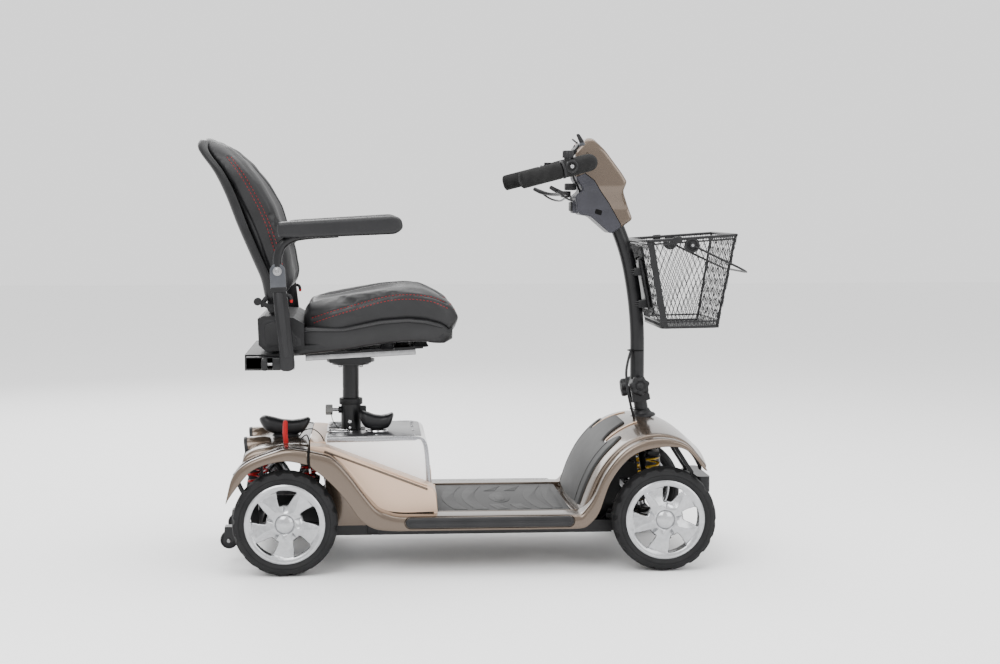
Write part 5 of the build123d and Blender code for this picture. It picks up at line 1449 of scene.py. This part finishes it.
front = head_mesh("head_front_shell")
cut(front, prism(HEAD_SPLIT, -120, 120), "INTERSECT")
finished(front, "paint", "tiller", 35, replaces=("head_front_cover",))
rear = head_mesh("head_rear_shell")
cut(rear, prism([(x - 1.1, z - 1.1) for x, z in HEAD_SPLIT], -120, 120), "DIFFERENCE")
finished(rear, "grey_plastic", "tiller", 35, replaces=("head_rear_cover",))
block("charge_box", 654, 692, -27, 27, 789, 819, "grey_plastic", "tiller", 4)
block("charge_box_lip", 650, 656, -22, 22, 794, 815, "black_plastic", "tiller", 2)
for s, label in SIDES:
    # dark slot pieces on the head's sides: painted shade inside the slots
    slab(f"head_slot_shade_{label}", rounded([(703, 789), (718, 784), (721, 795), (706, 800)], 3, 3),
        s * 41.5, s * 44.8, "dark", "tiller", 0.6)
    slab(f"charge_box_side_{label}", rounded([(660, 826), (662, 793), (700, 790), (712, 797),
        (700, 806), (676, 818)], 3, 3), s * 27, s * 43.2, "grey_plastic", "tiller", 1.5)
    screw(f"head_screw_{label}", (683, s * 64.5, 925), (0, s, 0), 4, "dark", "tiller", 1.6)
dash = Vector((-0.772, 0, 0.636))
face = [(-46, -13), (46, -13), (46, 13), (-46, 13)]
tangent = Vector((0.636, 0, 0.772))
centre = at(667.5, 0, 944)
rings = []
for h, inset in ((0, 0), (2.0, 0), (3.0, 1.2)):
    ring = []
    for y, t in rounded([(a * (1 - inset / 46), b * (1 - inset / 13)) for a, b in face], 6, 5):
        ring.append(centre + (dash * h + tangent * t) / 1000 + Vector((0, y / 1000, 0)))
    rings.append(ring)
make("dash_panel", *skin(rings), "black_plastic", "tiller", 40)
for k in range(5):
    spot = (666, -8 + 4 * k, 945.5)
    lathe(f"dash_light_{k}", [(0, 2.6), (1.5, 2.6), (1.3, 3.8), (0, 4.2)], spot, dash, "lens"
        if k == 0 else "yellow" if k == 1 else "knob_grey", "tiller", 14)
lathe("key_collar", [(3.8, 2), (7.4, 2), (7.4, 4.6), (6.4, 5.4), (3.8, 5.4)], (669, -24, 946), dash,
    "chrome", "tiller", 32, loop=True)
lathe("key_barrel", [(0, -4), (3.4, -4), (3.4, 6), (0, 6)], (669, -24, 946), dash, "steel", "key",
    24, replaces=("ignition_key",))
rings = []
key_centre = at(669, -24, 946)
for y in (-1.2, 1.2):
    ring = []
    for t, h in rounded([(-4, 5), (4, 5), (8.5, 11), (8, 21), (-8, 21), (-8.5, 11)], 4, 4):
        ring.append(key_centre + (dash * h + Vector((0, t, 0)) + tangent * y) / 1000)
    rings.append(ring)
make("key_bow", *skin(rings), "black_plastic", "key", 35, bevel=0.5)
lathe("horn_button_look", [(0, -3), (5.8, -3), (5.8, 3.4), (5.2, 4.2), (3, 4.6), (0, 4.7)],
    (669, 24, 946), dash, "red", "horn", 36, replaces=("horn_button",))
lathe("horn_collar", [(6.3, 1.8), (8.6, 1.8), (8.6, 4.0), (7.8, 4.8), (6.3, 4.8)], (669, 24, 946),
    dash, "black_plastic", "tiller", 36, loop=True)

# bar, elbows, grips, dial and levers
G = Vector((520, 238, 862))
B = Vector((675, 212, 902))
along = (B - G).normalized()
for s, label in SIDES:
    def spot(d):
        p = G + along * d
        return (p.x, s * p.y, p.z)
    marks = np.linspace(-6, 92, 50)
    radii = []
    for d in marks:
        edge = min(d + 6, 92 - d)
        radii.append(18.6 * min(1, (max(edge, 0.0) / 5) ** 0.5 * 0.45 + 0.55) + 0.12 * sin(d * 1.9))
    pipe(f"grip_{label}", [spot(d) for d in marks], radii, "foam", "tiller", 40,
        replaces=once(s, "handlebar_grips"))
    path = curve([spot(93), spot(112), (648, s * 214, 896), (668, s * 196, 901),
        (674, s * 172, 902), (675, s * 140, 902)], 36)
    fat = np.interp(np.linspace(0, 1, 36), [0, 0.12, 0.45, 0.7, 0.86, 1],
        [18.0, 19.4, 19.6, 19.0, 15.5, 12.4])
    pipe(f"elbow_{label}", path, fat, "foam", "tiller", 32)
    lathe(f"elbow_cap_{label}", [(0, 0), (14.5, 0), (15, 2), (14, 5.4), (11.5, 6.4), (9.4, 5.2),
        (8.6, 3.2), (5.6, 3.2), (5.2, 6.0), (3.4, 6.2), (3.0, 4.4), (0, 4.4)],
        (628, s * 233.5, 892), (0.10, s, 0), "black_plastic", "tiller", 40)
    screw(f"elbow_bolt_{label}", (628.5, s * 237.5, 892), (0.10, s, 0), 4.6, "steel", "tiller", 4)
    lathe(f"grip_ring_{label}", [(12.2, -3), (19, -3), (19.8, -1.6), (19.8, 1.6), (19, 3),
        (12.2, 3)], spot(94), along if s > 0 else Vector((along.x, -along.y, along.z)),
        "black_plastic", "tiller", 40, loop=True)
    # second, thinner lever under each grip
    path = curve([(600, s * 196, 840), (622, s * 176, 824), (640, s * 130, 818), (646, s * 60, 824),
        (650, s * 20, 828)], 40)
    pipe(f"wire_lever_{label}", path, 2.4, "black_coat", "throttle", 12)
rings = []
dial_spot = G + along * 106
for scale, h in ((0.3, 0), (1.0, 0), (1.02, 1), (1.0, 13.5), (0.93, 15.4), (0.6, 15.9),
        (0.56, 14.9), (0.05, 14.9)):
    ring = []
    for k in range(96):
        a = 2 * pi * k / 96
        r = 12 * scale * (1 - (0.05 if k % 6 in (0, 1) and scale > 0.9 else 0))
        ring.append(at(dial_spot.x + r * cos(a), -dial_spot.y + r * sin(a), dial_spot.z + 23.2 + h))
    rings.append(ring)
make("dial_look", *skin(rings), "soft_plastic", "dial", 30, replaces=("speed_dial",))
block("dial_pointer", dial_spot.x - 1, dial_spot.x + 9, -dial_spot.y - 0.8, -dial_spot.y + 0.8,
    dial_spot.z + 37.8, dial_spot.z + 39.4, "knob_grey", "dial", 0.3)
paddle = curve([(586, -196, 847), (600, -185, 840), (616, -166, 835), (630, -110, 833),
    (632, -60, 833), (632, 0, 833), (632, 60, 833), (630, 110, 833), (616, 166, 835),
    (600, 185, 840), (586, 196, 847)], 120)
fat = np.interp(np.abs(np.linspace(-1, 1, 120)), [0, 0.8, 0.9, 1.0], [4.0, 4.0, 5.2, 4.4])
pipe("paddle_look", paddle, fat, "black_plastic", "throttle", 16, replaces=("throttle_paddle",))
block("paddle_hub", 630, 652, -12, 12, 825.6, 840.4, "black_plastic", "throttle", 2.5)
block("lever_box", 636, 662, -34, -14, 842, 858, "black_plastic", "tiller", 2.5)
arm = curve([(640, -120, 914), (644, -128, 926), (652, -136, 936), (659, -140, 945),
    (662, -142, 950)], 26)
pipe("stalk", arm, 2.6, "black_plastic", "tiller", 12)
slab("stalk_clip", rounded([(631, 916), (648, 934), (654, 929), (638, 910)], 4, 3), -128, -114,
    "black_plastic", "tiller", 1.5)
tab = rounded([(648, 966), (655, 967), (666, 950), (664, 943), (657, 944)], 3, 4)
slab("stalk_tab", tab, -146, -138, "black_plastic", "tiller", 1.4)
slab("stalk_ring", rounded([(655, 938), (668, 941), (667, 948), (655, 946)], 2.5, 3), -147, -135,
    "steel_grey", "tiller", 1.0)
lead = curve([(640, -100, 890), (652, -70, 868), (664, -46, 850), (672, -34, 836)], 24)
pipe("dial_lead", lead, 2.4, "black_plastic", "tiller", 10)

# ------------------------------------------------------------ basket
def corner(t, sx, sy):
    """A corner of the tub, t up from the foot: sx 0 rear and 1 front, sy -1 right and 1 left."""
    low = np.array([847.0 if sx == 0 else 977.0, 123.0 * sy, 529.0 if sx == 0 else 531.0])
    high = np.array([809.0 if sx == 0 else 1015.0, 145.0 * sy, 728.0 if sx == 0 else 742.0])
    return low * (1 - t) + high * t


def wires(a0, a1, b0, b1, cols, rows, off):
    """Two crossing sets of wires over the panel with foot a0-a1 and rim b0-b1."""
    out = []
    normal = np.cross(a1 - a0, b0 - a0)
    normal = normal / np.linalg.norm(normal)
    for lean in (1, -1):
        for k in range(-rows, cols + rows):
            pts = []
            for j in range(0, rows + 1):
                u = (k + lean * j * 0.5 + (0 if lean > 0 else rows * 0.5)) / cols
                pts.append((u, j / rows))
            line = []
            for (u0, v0), (u1, v1) in zip(pts, pts[1:]):
                for f in (0.0, 0.5):
                    u, v = u0 + (u1 - u0) * f, v0 + (v1 - v0) * f
                    if -1e-6 <= u <= 1 + 1e-6:
                        p = (a0 * (1 - u) + a1 * u) * (1 - v) + (b0 * (1 - u) + b1 * u) * v
                        line.append(p + normal * lean * off)
            u, v = pts[-1]
            if -1e-6 <= u <= 1 + 1e-6:
                line.append((b0 * (1 - u) + b1 * u) + normal * lean * off)
            if len(line) > 2:
                out.append(line)
    return out


c = {(sx, sy, t): corner(t, sx, sy) for sx in (0, 1) for sy in (-1, 1) for t in (0, 1)}
side_wires = []
for sy in (-1, 1):
    side_wires += wires(c[0, sy, 0], c[1, sy, 0], c[0, sy, 1], c[1, sy, 1], 15, 14, 0.45)
for sx in (0, 1):
    side_wires += wires(c[sx, -1, 0], c[sx, 1, 0], c[sx, -1, 1], c[sx, 1, 1], 14, 9, 0.45)
side_wires += wires(c[0, -1, 0], c[1, -1, 0], c[0, 1, 0], c[1, 1, 0], 12, 20, 0.45)
many_pipes("basket_mesh", side_wires, 0.72, "black_coat", "basket", 5, replaces=("basket",))


def hoop(t, drop, grow, radius, name):
    """A wire round the tub, t up from its foot."""
    pts = []
    for sx, sy in ((0, -1), (1, -1), (1, 1), (0, 1)):
        p = corner(t, sx, sy)
        pts.append((p[0] + (grow if sx else -grow), p[1] + grow * sy, p[2] + drop))
    flat = [(p[0], p[1]) for p in pts]
    ring = rounded(flat, 14, 6)
    path = []
    for x, y in ring:
        share = (x - pts[0][0]) / (pts[1][0] - pts[0][0])
        path.append((x, y, pts[0][2] * (1 - share) + pts[1][2] * share))
    return pipe(name, path, radius, "black_coat", "basket", 12, closed=True)


hoop(1.0, -1.2, 0.0, 3.4, "basket_rim")
hoop(0.955, 0.0, 0.3, 1.9, "basket_rim_lower")
hoop(0.0, 1.8, 0.0, 3.2, "basket_foot")
hoop(0.07, 0.0, 0.4, 2.0, "basket_foot_upper")


def bracket_spot(a, b):
    """A place beside the basket's back: a up along it and b towards the front."""
    return (847 - 0.1885 * a + 0.9821 * b, 529 + 0.9821 * a + 0.1885 * b)


rods = []
for sx in (0, 1):
    for sy in (-1, 1):
        rods.append([corner(t, sx, sy) + np.array([(3.5 if sx == 0 else -3.5), -3.5 * sy, 0])
            for t in (0.01, 0.3, 0.7, 0.99)])
many_pipes("basket_corner_rods", rods, 3.0, "black_coat", "basket", 10)
for s, label in SIDES:
    strip = [corner(t, 0, s) for t in np.linspace(0.02, 0.98, 12)]
    rings = []
    for p in strip:
        rings.append([at(p[0] + 0.5, p[1] - s * 1.0, p[2]), at(p[0] + 15, p[1] - s * 1.0, p[2] + 1),
            at(p[0] + 15, p[1] + s * 0.8, p[2] + 1), at(p[0] + 0.5, p[1] + s * 0.8, p[2])])
    make(f"basket_rear_strip_{label}", *skin(rings), "black_coat", "basket", 40)
    slab(f"basket_rim_tab_{label}", rounded([(868, 736), (888, 737.5), (887, 724), (870, 722)], 3,
        3), s * 144.5, s * 149, "black_plastic", "basket", 1)
    lathe(f"basket_disc_{label}", [(3.4, -2.8), (16.4, -2.8), (17.2, -1.6), (17.2, 1.6), (16.2, 3),
        (12, 3.4), (10.6, 2.4), (8.2, 2.4), (7.6, 4), (3.4, 4)], (911, s * 145, 718), (0, s, 0),
        "black_plastic", "basket", 48, loop=True)
    pipe(f"basket_stud_{label}", [(911, s * 146, 718), (911, s * 152, 718), (911, s * 157, 718)],
        3.4, "steel", "basket", 18)
    hook = [bracket_spot(a, b) for a, b in ((158, 1), (158, -6), (148, -6), (148, -10), (162, -10),
        (162, 1))]
    slab(f"basket_hook_{label}", hook, s * 22, s * 38, "black_coat", "basket", 1.0)

board = rounded([bracket_spot(40, -9), bracket_spot(40, -4.6), bracket_spot(156, -4.6),
    bracket_spot(156, -9)], 1.2, 3)
slab("bracket_board", board, -44, 44, "black_coat", "tiller", 1.0, ("basket_bracket",))
for k, (up, tube_x) in enumerate(((52, 812.5), (128, 801.5))):
    x, zz = bracket_spot(up, -5)
    hold = rounded([(tube_x - 4, -19.5), (x, -22), (x, 22), (tube_x - 4, 19.5)], 4, 4)
    pad_on_plan(f"bracket_block_{k}", hold, zz - 9, zz + 9, 1.5, "black_coat", "tiller")
    band = [(tube_x + 17.6 * cos(t), 17.6 * sin(t), zz) for t in np.linspace(pi * 0.5, pi * 1.5,
        24)]
    many_pipes(f"bracket_u_bolt_{k}", [[(p[0], p[1], p[2] + dz) for p in band]
        for dz in (-5, 0, 5)], 1.9, "black_coat", "tiller", 10)
plate = [bracket_spot(a, b) for a, b in ((30, 0.4), (30, 2.4), (186, 2.4), (186, 0.4))]
slab("basket_back_plate", plate, -46, 46, "black_coat", "basket", 0.8)
bail = [(911, -152, 718), (960, -152, 694.6), (1008, -152, 671.8)]
for k in range(9):
    a = pi / 2 * k / 8
    bail.append((1008 + 33 * sin(a), -152 + 36 * (1 - cos(a)), 671.8 - 15.8 * sin(a)))
bail += [(1041, y, 656) for y in np.linspace(-100, 100, 12)]
bail += [(x, -y, z) for x, y, z in bail[:12][::-1]]
pipe("bail_wire", bail, 2.5, "black_coat", "bail", 14, replaces=("basket_handle",))
for s, label in SIDES:
    lathe(f"bail_eye_{label}", [(3.6, -2.6), (7, -2.6), (7.6, -1.6), (7.6, 1.6), (7, 2.6),
        (3.6, 2.6)], (911, s * 152, 718), (0, 1, 0), "black_coat", "bail", 32, loop=True)

# ------------------------------------------------------------ floor, light and camera
def stage():
    floor_material, shader = nodes_of("pale_floor")[::2]
    shader.inputs["Base Color"].default_value = (0.93, 0.93, 0.93, 1)
    shader.inputs["Roughness"].default_value = 0.6
    mesh = bpy.data.meshes.new("floor")
    mesh.from_pydata([(-14, -14, 0), (14, -14, 0), (14, 14, 0), (-14, 14, 0)], [], [(0, 1, 2, 3)])
    floor = bpy.data.objects.new("floor", mesh)
    bpy.context.scene.collection.objects.link(floor)
    mesh.materials.append(floor_material)
    world = bpy.data.worlds.new("studio")
    world.use_nodes = True
    world.node_tree.nodes["Background"].inputs[0].default_value = (1, 1, 1, 1)
    world.node_tree.nodes["Background"].inputs[1].default_value = 1.45
    bpy.context.scene.world = world
    for name, place, size, power in (("key", (-1.6, -3.2, 3.4), 2.6, 150),
            ("fill", (2.6, -2.8, 1.9), 2.4, 60), ("top", (0.2, 0.3, 3.4), 3.0, 120),
            ("back", (-1.4, 3.0, 2.2), 2.2, 60)):
        data = bpy.data.lights.new(name, "AREA")
        data.shape = "SQUARE"
        data.size = size
        data.energy = power
        lamp = bpy.data.objects.new(name, data)
        bpy.context.scene.collection.objects.link(lamp)
        lamp.location = place
        lamp.rotation_euler = (Vector((0, 0, 0.45)) - lamp.location).to_track_quat("-Z",
            "Y").to_euler()
    camera_data = bpy.data.cameras.new("camera")
    camera_data.lens = 63.8
    camera_data.sensor_width = 36
    camera = bpy.data.objects.new("camera", camera_data)
    bpy.context.scene.collection.objects.link(camera)
    camera.location = at(185, -4094, 809)
    camera.rotation_euler = (radians(90 - 4.11), 0, radians(-4.24))
    bpy.context.scene.camera = camera


stage()
